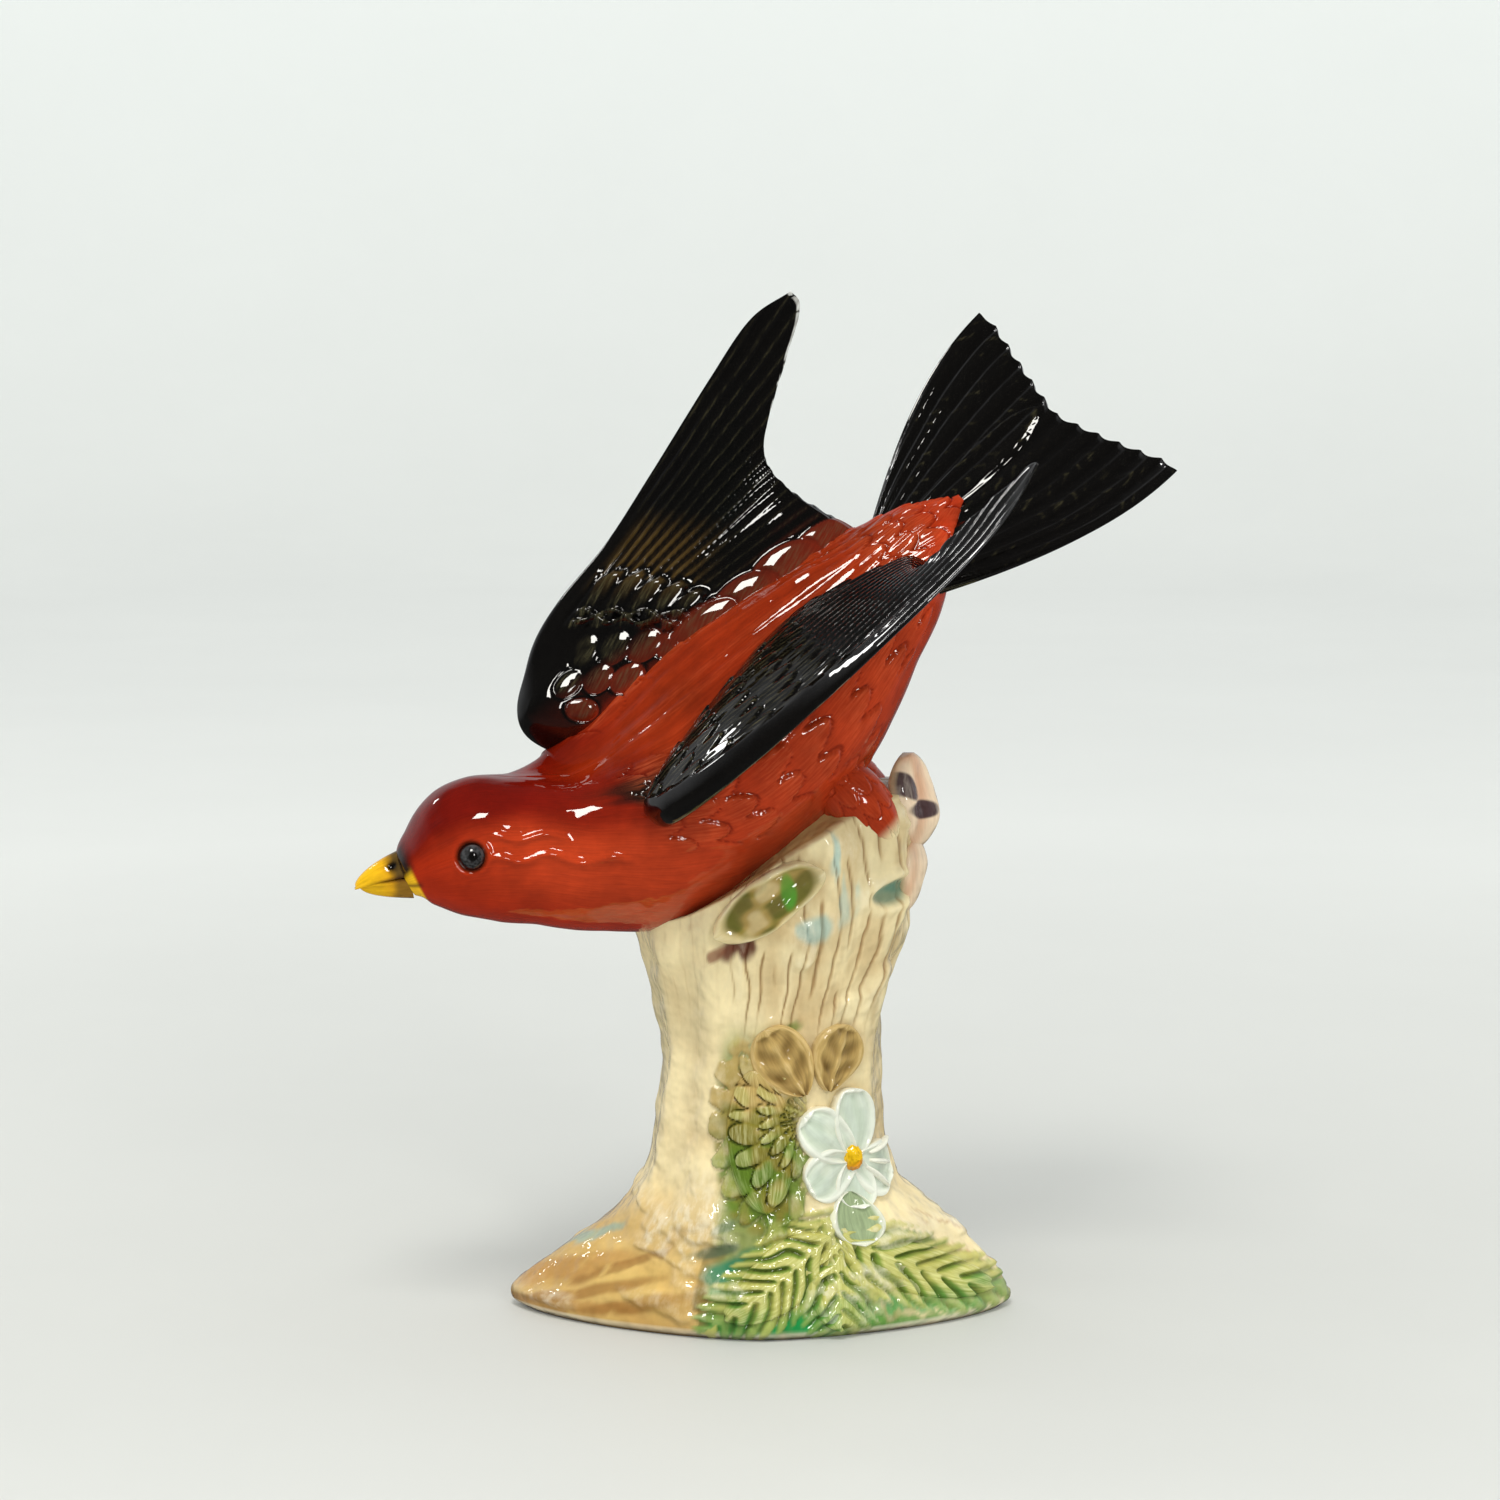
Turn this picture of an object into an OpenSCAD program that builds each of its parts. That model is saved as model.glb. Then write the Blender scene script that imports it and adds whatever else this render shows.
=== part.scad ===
// Glazed porcelain figurine of a red songbird with black wings and tail,
// swooping down over a flowering tree stump.
// The stump and the bird's trunk are hollow castings. Wings, tail, bill, eyes, legs,
// flowers and leaves are separate castings that meet them face to face.
// Origin: centre of the figurine's outline, on the resting surface. +Z up, bird facing -X.

/* [Bird pose] */
// Height of the point midway between the shoulders
shoulder_z = 80.4; // [79.5:0.1:82]
// How steeply the bird dives, degrees
bird_pitch = 36; // [34:0.5:38]
// How far the bill turns toward the front, degrees
bird_yaw = 17; // [14:0.5:20]
// How far the back rolls toward the front, degrees
bird_roll = -30; // [-33:0.5:-27]

/* [Trunk] */
// Half width of the trunk at its widest
trunk_r = 17.6; // [16.5:0.1:18.5]
// Radius of the head
head_r = 10.2; // [9.6:0.1:10.8]
// Wall of the hollow castings
wall = 3; // [2.6:0.1:3.4]
// Diameter of the vent between trunk and stump
vent_d = 3.6; // [3:0.2:5]
// Diameter of an eye
eye_d = 4; // [3.4:0.1:4.6]
// Length of the bill
bill_len = 8; // [7:0.2:9]

/* [Wings] */
// Length of a wing from shoulder to tip
wing_len = 77; // [72:0.5:80]
// How much further apart the two shoulders stand
shoulder_spread = 0; // [-0.6:0.1:0.6]
// Thickness of a wing beside the body
wing_root_t = 4.4; // [3.6:0.2:5.2]
// Thickness of a wing at its feather tips
wing_tip_t = 1.3; // [1:0.1:1.8]

/* [Tail] */
// Length of the tail, from inside the rump to the notch between its tips
tail_len = 33.2; // [31:0.1:35]
// Half width across the tail's tips
tail_half = 25.4; // [23.5:0.1:27.5]
// Thickness of the tail at its tips
tail_tip_t = 1.5; // [1.2:0.1:2]
// Number of tail feathers
tail_feathers = 12; // [8:2:14]

/* [Stump] */
// Half width of the foot, side to side
foot_half_w = 37.4; // [35:0.2:39]
// Half depth of the foot, front to back
foot_half_d = 21.2; // [20:0.2:23]
// Depth of the grooves in the bark
bark_depth = 0.45; // [0.2:0.05:0.7]

/* [Flowers and leaves] */
// Length of a petal of the blue-white flower
petal_len = 8.6; // [7.6:0.2:9.4]
// Height that petals and leaves stand off the stump
relief_t = 1.3; // [1:0.1:1.8]
// Diameter of the blue-white flower's eye
flower_eye_d = 3.6; // [3:0.2:4.2]

/* [Hidden] */

scarlet = "#a8321c";
soot = "#1c1a16";
bill_yellow = "#e0a81c";
bark_cream = "#e8d8b0";
bark_brown = "#8f7440";
moss_green = "#6f8a3c";
petal_blue = "#d4e2dc";
blossom_pink = "#ecd8c4";

around = 32;         // points around a round casting
edge_steps = 20;     // points around a plate such as a wing
gap_steps = 3;       // rings between two stations of the trunk

// Where the stump's axis stands, so that the whole figurine is centred on the origin.
// Everything below is measured from that axis.
axis_place = [-0.5, 5.3, 0];

module placed(tint) {
    color(tint) translate(axis_place) children();
}

// ---------- numbers and curves ----------

function mix(a, b, t) = a + (b - a) * t;
function clamp01(t) = min(1, max(0, t));
function ease(t) = let (c = clamp01(t)) c * c * (3 - 2 * c);
function unit(v) = v / norm(v);

// One point of a smooth curve through four rows, t from 0 at b to 1 at c
function curve4(a, b, c, d, t) =
    ((2 * b) + (c - a) * t + (2 * a - 5 * b + 4 * c - d) * t * t
    + (3 * b - a - 3 * c + d) * t * t * t) / 2;

// The smooth curve through all rows at place s, counted in rows
function along(rows, s) =
    let (
        last = len(rows) - 1,
        i = min(last - 1, max(0, floor(s))),
        before = i > 0 ? rows[i - 1] : 2 * rows[0] - rows[1],
        after = i + 2 <= last ? rows[i + 2] : 2 * rows[last] - rows[last - 1]
    )
    curve4(before, rows[i], rows[i + 1], after, s - i);

// The row at value x of the first column
function at_value(rows, x) =
    let (
        below = [for (i = [0 : len(rows) - 2]) if (rows[i][0] <= x) i],
        i = len(below) == 0 ? 0 : below[len(below) - 1],
        t = clamp01((x - rows[i][0]) / (rows[i + 1][0] - rows[i][0]))
    )
    along(rows, i + t);

// ---------- solids from rings ----------

// A closed solid through rings of equal, even point counts. Each end is closed
// by a strip between the ring's two halves, so a ring may be round or flat.
// Rings run clockwise as seen from the way they travel, unless other is true.
module loft(rings, other = false) {
    n = len(rings[0]);
    last = len(rings) - 1;
    points = [for (ring = rings) each ring];
    sides = [
        for (k = [0 : last - 1], i = [0 : n - 1])
        let (a = k * n + i, b = k * n + (i + 1) % n)
        each [turned([a, b, a + n], other), turned([b, b + n, a + n], other)]
    ];
    first_end = end_strip(0, n, other);
    last_end = end_strip(last * n, n, !other);
    polyhedron(points = points, faces = concat(sides, first_end, last_end));
}

function turned(face, flip) = flip ? [face[2], face[1], face[0]] : face;

function end_strip(start, n, flip) = [
    for (i = [0 : n / 2 - 1])
    let (
        a = start + i,
        b = start + i + 1,
        c = start + (n - i) % n,
        d = start + n - i - 1
    )
    each concat(
        i == 0 ? [] : [turned([a, c, b], flip)],
        i == n / 2 - 1 ? [] : [turned([b, c, d], flip)]
    )
];

// ---------- the bird's own frame: +X toward the bill, +Y left, +Z back ----------

shoulder_mid = [-23.4, -12, shoulder_z];

module in_bird_frame() {
    translate(shoulder_mid)
        rotate([bird_roll, bird_pitch, 180 + bird_yaw])
            children();
}

// Stations of the trunk: x, y, z, half width, height above and below, roll of the head
TRUNK = [
    [ 29.6, -7.9,   1.4, head_r * 0.32,  3.0,  2.9, 38],
    [ 27.6, -7.4,   1.4, head_r * 0.60,  6.0,  5.2, 38],
    [ 23.8, -6.3,   0.7, head_r * 0.88,  9.5,  8.2, 38],
    [ 18.8, -4.8,  -0.8, head_r,        11.0, 10.4, 37],
    [ 13.0, -2.8,  -3.4, head_r * 1.05,  9.9, 11.8, 33],
    [  6.0, -0.8,  -7.0, head_r * 1.16,  9.4, 14.2, 24],
    [ -1.5,  0.0,  -9.8, trunk_r * 0.81, 11.6, 18.0, 12],
    [ -9.5,  0.0, -11.4, trunk_r * 0.94, 14.0, 19.6, 3],
    [-18.5,  0.0, -11.6, trunk_r,        15.2, 18.6, 0],
    [-28.5,  0.0, -10.4, trunk_r * 0.96, 14.6, 15.6, 0],
    [-38.5,  0.0,  -8.2, trunk_r * 0.84, 12.6, 12.6, 0],
    [-47.0,  0.0,  -5.6, trunk_r * 0.70,  9.6,  9.8, 0],
    [-54.0,  0.0,  -3.4, trunk_r * 0.58,  7.0,  7.6, 0],
    [-61.0,  0.0,  -1.0, trunk_r * 0.50,  4.2,  4.4, 0]
];

// Where the trunk's ring at station place s lies: its middle, left, up and row
function trunk_frame(s) =
    let (
        row = along(TRUNK, s),
        ahead = along(TRUNK, s - 0.1),
        behind = along(TRUNK, s + 0.1),
        forward = unit([for (i = [0 : 2]) ahead[i] - behind[i]]),
        tilt = [0, -sin(row[6]), cos(row[6])],
        left = unit(cross(tilt, forward))
    )
    [[row[0], row[1], row[2]], left, cross(forward, left), row];

// Ring of n points across the trunk, drawn in by inset
function trunk_ring(s, inset, n) =
    let (frame = trunk_frame(s), row = frame[3])
    [
        for (i = [0 : n - 1])
        let (
            a = 360 * i / n,
            tall = (sin(a) > 0 ? row[4] : row[5]) - inset
        )
        frame[0] + frame[1] * (row[3] - inset) * cos(a) + frame[2] * tall * sin(a)
    ];

module trunk_skin() {
    in_bird_frame()
        loft([for (k = [0 : (len(TRUNK) - 1) * gap_steps]) trunk_ring(k / gap_steps, 0, around)]);
}

module trunk_hollow() {
    in_bird_frame()
        loft([for (s = [2.4 : 0.8 : 10.4]) trunk_ring(s, wall, 16)]);
}

module vent() {
    translate([-1, 0, 40])
        cylinder(d = vent_d, h = 42, $fn = 12);
}

module trunk() {
    placed(scarlet)
        difference() {
            trunk_skin();
            trunk_hollow();
            vent();
        }
}

// ---------- wings ----------

// Each wing's shoulder, way out to its tip, and way up from its top face.
// Both are given for a left wing; the right one is then mirrored.
LEFT_POSE = [[-0.4, 10.8, 1], [-67.1, 18, 24.5], [0.132, -0.581, 0.803]];
RIGHT_POSE = [[1.9, 12.3, -1.1], [-69.6, 17.3, 27], [0.152, -0.679, 0.718]];

// Outline as [out, across], in parts of the wing's length
LEADING = [
    [0, 0], [0.043, -0.061], [0.088, -0.099], [0.171, -0.124], [0.27, -0.12],
    [0.41, -0.092], [0.565, -0.078], [0.78, -0.062], [0.918, -0.045], [1, 0]
];
ROOT = [[0.1, 0.08], [0.21, 0.15], [0.345, 0.225], [0.47, 0.292], [0.62, 0.352], [0.663, 0.345]];
FEATHER_TIPS = [
    [1, 0], [0.979, 0.03], [0.881, 0.051], [0.783, 0.07], [0.717, 0.09],
    [0.682, 0.125], [0.666, 0.185], [0.662, 0.253], [0.66, 0.309], [0.663, 0.345]
];

// Place in the wing's plane: q from leading edge to body, t from shoulder to feather tips
function wing_place(q, t) =
    let (
        lead = along(LEADING, t * (len(LEADING) - 1)),
        root = along(ROOT, t * (len(ROOT) - 1)),
        tips = along(FEATHER_TIPS, q * (len(FEATHER_TIPS) - 1)),
        straight = mix(LEADING[len(LEADING) - 1], ROOT[len(ROOT) - 1], q),
        pull = pow(clamp01((t - 0.35) / 0.65), 2)
    )
    wing_len * (mix(lead, root, q) + (tips - straight) * pull);

// Bend of the wing out of its plane at six stations from shoulder to tips: how far the
// leading edge droops, and how far the body side arches up before it rests on the rump
LEAD_DROOP = [[1.3], [1.7], [2.4], [3.7], [3], [0]];
BODY_ARCH = [[0], [2.3], [3.3], [2.2], [-2.4], [-5.6]];

function wing_bend(q, t) =
    let (
        droop = along(LEAD_DROOP, t * (len(LEAD_DROOP) - 1))[0],
        arch = along(BODY_ARCH, t * (len(BODY_ARCH) - 1))[0]
    )
    arch * pow(q, 1.3) - droop * pow(1 - q, 1.6);

function wing_thickness(q, t) =
    mix(mix(wing_root_t * 1.7, wing_root_t, q), wing_tip_t, ease(t * 1.15));

function wing_ring(pose, t) =
    let (
        out = unit(pose[1]),
        across = unit(cross(pose[2], out)),
        up = cross(out, across)
    )
    [
        for (i = [0 : edge_steps - 1])
        let (
            a = 360 * i / edge_steps,
            q = (1 - cos(a)) / 2,
            place = wing_place(q, t),
            rise = wing_bend(q, t) + sin(a) * wing_thickness(q, t) / 2
        )
        pose[0] + [0, shoulder_spread, 0] + out * place[0] + across * place[1] + up * rise
    ];

module wing_plate(pose) {
    loft([for (t = [0 : 0.05 : 1.001]) wing_ring(pose, t)]);
}

module right_wing() {
    placed(soot)
        difference() {
            in_bird_frame() mirror([0, 1, 0]) wing_plate(RIGHT_POSE);
            trunk_skin();
        }
}

module left_wing() {
    placed(soot)
        difference() {
            in_bird_frame() wing_plate(LEFT_POSE);
            trunk_skin();
        }
}

// ---------- tail ----------

tail_start = [-54, 0, -3];
tail_turn = -1.2;        // turn of the fan toward the bird's left, degrees
tail_root_half = 7.6;    // half width inside the rump
tail_root_t = 5.4;       // thickness inside the rump
tail_swallow = 5.2;      // how much further the outer tips reach than the notch
tail_notch = 0.6;        // depth of the notches between feather tips
tail_lift = 4.4;         // rise of the tail's middle from rump to tip
tail_dish = 2.4;         // further rise of its outer feathers

// Place on the fan: p from -1 to 1 across, t from 0 at the rump to 1 at the tips
function tail_place(p, t) =
    let (
        scallop = tail_notch * abs(sin(p * 90 * tail_feathers)),
        round_corner = 1.2 * pow(abs(p), 16),
        reach = tail_len + tail_swallow * pow(abs(p), 1.1) - scallop - round_corner,
        half = mix(tail_root_half, tail_half, sin(90 * min(1, t)))
    )
    [-reach * t, half * p, t * (tail_lift + tail_dish * p * p)];

function tail_ring(t) = [
    for (i = [0 : 2 * edge_steps - 1])
    let (
        a = 180 * i / edge_steps,
        p = cos(a),
        rise = sin(a) * mix(tail_root_t, tail_tip_t, ease(t * 1.4)) / 2
    )
    tail_place(p, t) + [0, 0, rise]
];

module tail() {
    placed(soot)
        difference() {
            in_bird_frame()
                translate(tail_start)
                    rotate([0, 0, tail_turn])
                        loft([for (t = [0 : 0.1 : 1.001]) tail_ring(t)]);
            trunk_skin();
        }
}

// ---------- bill and eyes ----------

bill_root = [29, -7.8, 1.6];
bill_dir = unit([0.84, -0.36, 0.28]);
head_tilt = [0, -sin(38), cos(38)];
head_left = unit(cross(head_tilt, bill_dir));
head_up = cross(bill_dir, head_left);
bill_half_w = 3.1;       // half width of the bill at its root
upper_bill_h = 3.6;
lower_bill_h = 2.6;
upper_bill_droop = 1.2;  // how far its tip curves down
lower_bill_share = 0.86; // length of the lower half beside the upper one
eye_station = 2.6;
eye_sink = 1;            // how deep the bead's middle lies in the head
eye_rise = 0.6;          // how far it sits above the middle of the head

// Half of the bill: up is 1 for the upper half and -1 for the lower one
module bill_half(up, len, height, droop) {
    rings = [
        for (t = [0 : 0.125 : 1])
        let (
            taper = sqrt(1.02 - t),
            middle = bill_root + bill_dir * len * t - head_up * droop * t * t
        )
        [
            for (i = [0 : 15])
            let (
                a = 360 * i / 16,
                tall = (sin(a) > 0 ? height : 0.1) * taper
            )
            middle + head_left * bill_half_w * taper * cos(a)
                + head_up * up * (tall * sin(a) + 0.12)
        ]
    ];
    in_bird_frame() loft(rings, up < 0);
}

module upper_bill() {
    placed(bill_yellow)
        difference() {
            bill_half(1, bill_len, upper_bill_h, upper_bill_droop);
            trunk_skin();
        }
}

module lower_bill() {
    placed(bill_yellow)
        difference() {
            bill_half(-1, bill_len * lower_bill_share, lower_bill_h, 0);
            trunk_skin();
        }
}

// A round bead, r in radius, about a middle point
module bead(middle, r) {
    loft([
        for (t = [0 : 0.125 : 1])
        let (turn = 180 * mix(0.04, 0.96, t))
        [
            for (i = [0 : 15])
            let (a = -360 * i / 16)
            middle + r * [sin(turn) * cos(a), sin(turn) * sin(a), -cos(turn)]
        ]
    ]);
}

// side is 1 for the left eye and -1 for the right one
module eye(side) {
    frame = trunk_frame(eye_station);
    middle = frame[0] + frame[1] * side * (frame[3][3] - eye_sink) + frame[2] * eye_rise;
    placed("black")
        difference() {
            in_bird_frame() bead(middle, eye_d / 2);
            trunk_skin();
        }
}

module right_eye() {
    eye(-1);
}

module left_eye() {
    eye(1);
}

// ---------- stump ----------

// Stations of the stump: z, then reach to the left, right, front and back, and squareness
STUMP = [
    [ 0,  foot_half_w - 0.8, foot_half_w,       foot_half_d - 0.4, foot_half_d, 1.25],
    [ 1.5, foot_half_w - 0.2, foot_half_w + 0.4, foot_half_d, foot_half_d + 0.4, 1.25],
    [ 3.7, foot_half_w - 1.6, foot_half_w - 1.1, foot_half_d - 0.8, foot_half_d - 0.6, 1.3],
    [ 7.4, 31.2, 33.8, 18.6, 19.0, 1.4],
    [12.5, 24.0, 28.4, 16.8, 17.4, 1.55],
    [19.9, 17.6, 20.6, 15.2, 15.6, 1.8],
    [30.0, 15.4, 18.8, 14.2, 14.6, 2],
    [39.0, 14.2, 18.2, 13.8, 14.0, 2],
    [46.3, 15.0, 17.9, 14.0, 14.0, 2],
    [52.2, 16.5, 19.6, 14.6, 14.6, 2],
    [57.0, 17.6, 21.3, 15.0, 15.0, 2],
    [64.0, 18.0, 22.8, 15.0, 15.4, 2],
    [71.0, 17.0, 23.4, 14.6, 15.4, 2],
    [80.0, 14.0, 22.0, 13.0, 14.0, 2]
];

function bark(az, z) =
    bark_depth * sin(11 * az + 50 * sin(5 * z)) * ease((z - 4) / 16);

// Distance from the stump's axis to its skin
function stump_reach(az, z) =
    let (
        row = at_value(STUMP, z),
        side = cos(az) < 0 ? row[1] : row[2],
        depth = sin(az) < 0 ? row[3] : row[4],
        power = row[5]
    )
    pow(pow(abs(cos(az)) / side, power) + pow(abs(sin(az)) / depth, power), -1 / power);

function stump_skin_point(az, z, out = 0) =
    let (r = stump_reach(az, z) + bark(az, z) + out)
    [r * cos(az), r * sin(az), z];

// Height of the rim, which follows the bird's slanted belly
function rim_z(az) = 69 + 10 * cos(az - 10);

function stump_outer_ring(v) = [
    for (i = [0 : 59])
    let (az = -6 * i)
    stump_skin_point(az, v * rim_z(az))
];

function stump_top_ring(k) = [
    for (p = stump_outer_ring(1))
    [p[0] * k, p[1] * k, mix(69 + 0.5 * p[0], p[2], k * k)]
];

function stump_inner_ring(v) = [
    for (i = [0 : 59])
    let (
        az = -6 * i,
        z = v * (55 + 9 * cos(az)),
        r = stump_reach(az, z + 0.6 * wall) - wall
    )
    [r * cos(az), r * sin(az), z]
];

function stump_ceiling_ring(k) = [
    for (p = stump_inner_ring(1))
    [p[0] * k, p[1] * k, p[2] * k + (1 - k) * 57]
];

module stump_skin() {
    loft(concat(
        [for (v = [0, 0.02, 0.05, each [0.1 : 0.05 : 1.001]]) stump_outer_ring(v)],
        [for (k = [0.7, 0.35, 0.05]) stump_top_ring(k)]
    ));
}

module stump_casting() {
    loft(concat(
        [for (k = [0.05, 0.6]) stump_ceiling_ring(k)],
        [for (v = [1 : -0.1 : -0.001]) stump_inner_ring(max(0, v))],
        [for (v = [0, 0.02, 0.05, each [0.1 : 0.05 : 1.001]]) stump_outer_ring(v)],
        [for (k = [0.7, 0.35, 0.05]) stump_top_ring(k)]
    ));
}

module stump() {
    placed(bark_cream)
        difference() {
            stump_casting();
            trunk_skin();
            vent();
        }
}

// ---------- applied pieces on the stump ----------

// A leaf-shaped plate that stands off the stump's skin and is rooted in it. It starts
// at azimuth az and height z and runs along dir, where 0 is level and 90 straight up.
// widest is the place of its greatest width, and ripples counts its cross ridges.
module plate(az, z, dir, len, width, lift = relief_t, widest = 0.5, ripples = 0) {
    points_across = 14;
    loft([
        for (t = [0 : 0.1 : 1.001])
        let (
            bulge = sqrt(sin(180 * pow(min(1, t), ln(0.5) / ln(widest)))),
            half = width / 2 * max(0.1, bulge),
            wave = 1 + 0.25 * sin(360 * ripples * t)
        )
        [
            for (i = [0 : points_across - 1])
            let (
                a = 360 * i / points_across,
                side = -half * cos(a),
                level = len * t * cos(dir) - side * sin(dir),
                rise = len * t * sin(dir) + side * cos(dir),
                turn = level / stump_reach(az, z) * 180 / PI,
                out = sin(a) > 0.01 ? lift * wave * sqrt(sin(a)) : -1.2
            )
            stump_skin_point(az + turn, z + rise, out)
        ]
    ]);
}

// Trims the first child to the stump and to the neighbours given after it
module seated(tint) {
    placed(tint)
        difference() {
            children(0);
            stump_skin();
            if ($children > 1) children([1 : $children - 1]);
        }
}

// Azimuth and height of the blue-white flower's eye
flower_az = -38;
flower_z = 25;

// Its petals, anticlockwise from the top: direction, then length and width in petal lengths
PETALS = [
    [90, 1.2, 0.66], [137, 1.25, 0.76], [203, 0.98, 0.78], [270, 0.85, 0.6], [-30, 1.05, 0.8]
];

module petal_plate(k) {
    plate(
        flower_az, flower_z, PETALS[k][0],
        petal_len * PETALS[k][1], petal_len * PETALS[k][2], relief_t, 0.62
    );
}

module flower_bead() {
    bead(stump_skin_point(flower_az, flower_z, 0.3), flower_eye_d / 2);
}

// Petal k, trimmed by the flower's eye and by the petal before it
module petal(k) {
    seated(petal_blue) {
        petal_plate(k);
        flower_bead();
        if (k > 0) petal_plate(k - 1);
    }
}

module petal_top() {
    petal(0);
}

module petal_upper_left() {
    petal(1);
}

module petal_lower_left() {
    petal(2);
}

module petal_bottom() {
    petal(3);
}

module petal_right() {
    petal(4);
}

module flower_eye() {
    seated(bill_yellow) flower_bead();
}

// Three threads that lie on the right petal and start just clear of the flower's eye
module stamens() {
    clear = flower_eye_d / 2 + 0.3;
    seated(petal_blue) {
        for (dir = [-44, -16, 14])
            plate(
                flower_az + clear * cos(dir) / stump_reach(flower_az, flower_z) * 180 / PI,
                flower_z + clear * sin(dir), dir, petal_len * 0.62, 0.9, relief_t + 0.6
            );
        petal_plate(3);
        petal_plate(4);
    }
}

module round_leaf_plate() {
    plate(flower_az - 4, flower_z - 4.6, 268, 6.8, 6.6, relief_t * 0.8, 0.55);
}

module round_leaf() {
    seated(moss_green) {
        round_leaf_plate();
        for (k = [2 : 4]) petal_plate(k);
    }
}

module brown_leaf_left_plate() {
    plate(flower_az - 27, flower_z + 10, 120, 11.5, 7.5, relief_t, 0.62);
}

module brown_leaf_left() {
    seated(bark_brown) {
        brown_leaf_left_plate();
        petal_plate(1);
    }
}

module brown_leaf_right() {
    seated(bark_brown) {
        plate(flower_az - 14, flower_z + 10.4, 70, 10, 6.8, relief_t, 0.62);
        brown_leaf_left_plate();
        petal_plate(0);
        petal_plate(1);
    }
}

// Ferns spread over the front root from one place below the round leaf
fern_az = -54;
fern_z = 14.4;

module fern_left_plate() {
    plate(fern_az - 3, fern_z, 218, 18, 8, relief_t, 0.5, 5);
}

module fern_middle_plate() {
    plate(fern_az, fern_z - 1, 262, 12.2, 7.5, relief_t, 0.55, 4);
}

module fern_left() {
    seated(moss_green) {
        fern_left_plate();
        round_leaf_plate();
    }
}

module fern_middle() {
    seated(moss_green) {
        fern_middle_plate();
        fern_left_plate();
        round_leaf_plate();
    }
}

module fern_right() {
    seated(moss_green) {
        plate(fern_az + 4, fern_z, -38, 17, 7.5, relief_t, 0.5, 5);
        fern_middle_plate();
        fern_left_plate();
        round_leaf_plate();
    }
}

module feather_leaf() {
    seated(moss_green) {
        plate(-86, 18, 96, 21, 11, relief_t, 0.5, 5);
        brown_leaf_left_plate();
        petal_plate(1);
        petal_plate(2);
        fern_left_plate();
    }
}

// The sawn stub of a branch under the breast
module branch_stub() {
    seated(bark_cream) {
        plate(-112, 58.6, 36, 17, 7.6, 2.4);
        trunk_skin();
    }
}

// The pink blossom at the top right, half behind the bird
module blossom_upper_plate() {
    plate(-3, 69.5, 86, 14, 12, 3.6);
}

module blossom_upper() {
    seated(blossom_pink) {
        blossom_upper_plate();
        trunk_skin();
        leg_plug(-1);
        leg_plug(1);
    }
}

module blossom_lower() {
    seated(blossom_pink) {
        plate(-5, 71, 271, 11, 9, 2.2, 0.4);
        blossom_upper_plate();
        leg_plug(-1);
    }
}

// ---------- legs: the feathered thighs that join the belly to the stump ----------

leg_top = [9, 6.4, 82];
leg_foot = [19.4, 6.6, 71.5];
leg_r = 5.4;

// side is -1 for the near leg, the bird's left, and 1 for the far one
module leg_plug(side) {
    run = leg_foot - leg_top;
    level = cross(unit(run), [0, 1, 0]);
    loft([
        for (t = [0 : 0.1 : 1.001])
        let (r = leg_r * max(0.15, sqrt(sin(180 * min(1, 0.12 + 0.86 * t)))))
        [
            for (i = [0 : 15])
            let (
                a = 360 * i / 16,
                p = leg_top + run * t + [0, 1, 0] * r * cos(a) + level * r * sin(a)
            )
            [p[0], p[1] * side, p[2]]
        ]
    ], side > 0);
}

module leg(side) {
    seated(scarlet) {
        leg_plug(side);
        trunk_skin();
    }
}

module right_leg() {
    leg(1);
}

module left_leg() {
    leg(-1);
}

stump();
trunk();
right_wing();
left_wing();
tail();
upper_bill();
lower_bill();
right_eye();
left_eye();
right_leg();
left_leg();
branch_stub();
petal_top();
petal_upper_left();
petal_lower_left();
petal_bottom();
petal_right();
flower_eye();
stamens();
blossom_upper();
blossom_lower();
round_leaf();
brown_leaf_left();
brown_leaf_right();
feather_leaf();
fern_left();
fern_middle();
fern_right();
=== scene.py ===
"""Looks of a glazed porcelain songbird over a flowering stump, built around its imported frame.

Shapes are worked out in millimetres in the stump's own frame, as in the part's source, and
go to metres in the row frame when a mesh is made. Each surface carries three layers that
its glaze reads: paint (colour), relief (-1 in grooves to 1 on ridges) and grain (place
along and across the brush strokes, in millimetres).
"""

import math

import bpy
import numpy as np
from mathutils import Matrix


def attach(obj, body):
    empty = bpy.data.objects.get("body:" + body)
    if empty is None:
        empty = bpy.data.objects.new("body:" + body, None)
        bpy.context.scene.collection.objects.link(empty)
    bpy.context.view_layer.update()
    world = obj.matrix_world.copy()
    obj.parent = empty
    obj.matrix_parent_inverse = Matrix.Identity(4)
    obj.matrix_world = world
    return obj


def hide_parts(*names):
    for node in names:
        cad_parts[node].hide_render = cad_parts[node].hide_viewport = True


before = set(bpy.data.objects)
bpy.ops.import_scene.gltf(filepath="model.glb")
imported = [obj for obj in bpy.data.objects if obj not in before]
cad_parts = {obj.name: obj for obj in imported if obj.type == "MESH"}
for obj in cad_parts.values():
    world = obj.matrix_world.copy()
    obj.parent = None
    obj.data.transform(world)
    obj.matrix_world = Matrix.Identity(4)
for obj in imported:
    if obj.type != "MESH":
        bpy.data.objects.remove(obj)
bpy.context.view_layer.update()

MM = 0.001
AXIS_PLACE = np.array([-0.5, 5.3, 0])    # where the stump's axis stands in the row frame

# ---------- numbers, curves and smooth noise ----------


def mix(a, b, t):
    return a + (b - a) * t


def clamp01(t):
    return np.clip(t, 0.0, 1.0)


def held(t):
    """t, held between -1 and 1."""
    return np.clip(t, -1.0, 1.0)


def ease(t):
    c = clamp01(t)
    return c * c * (3 - 2 * c)


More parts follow.
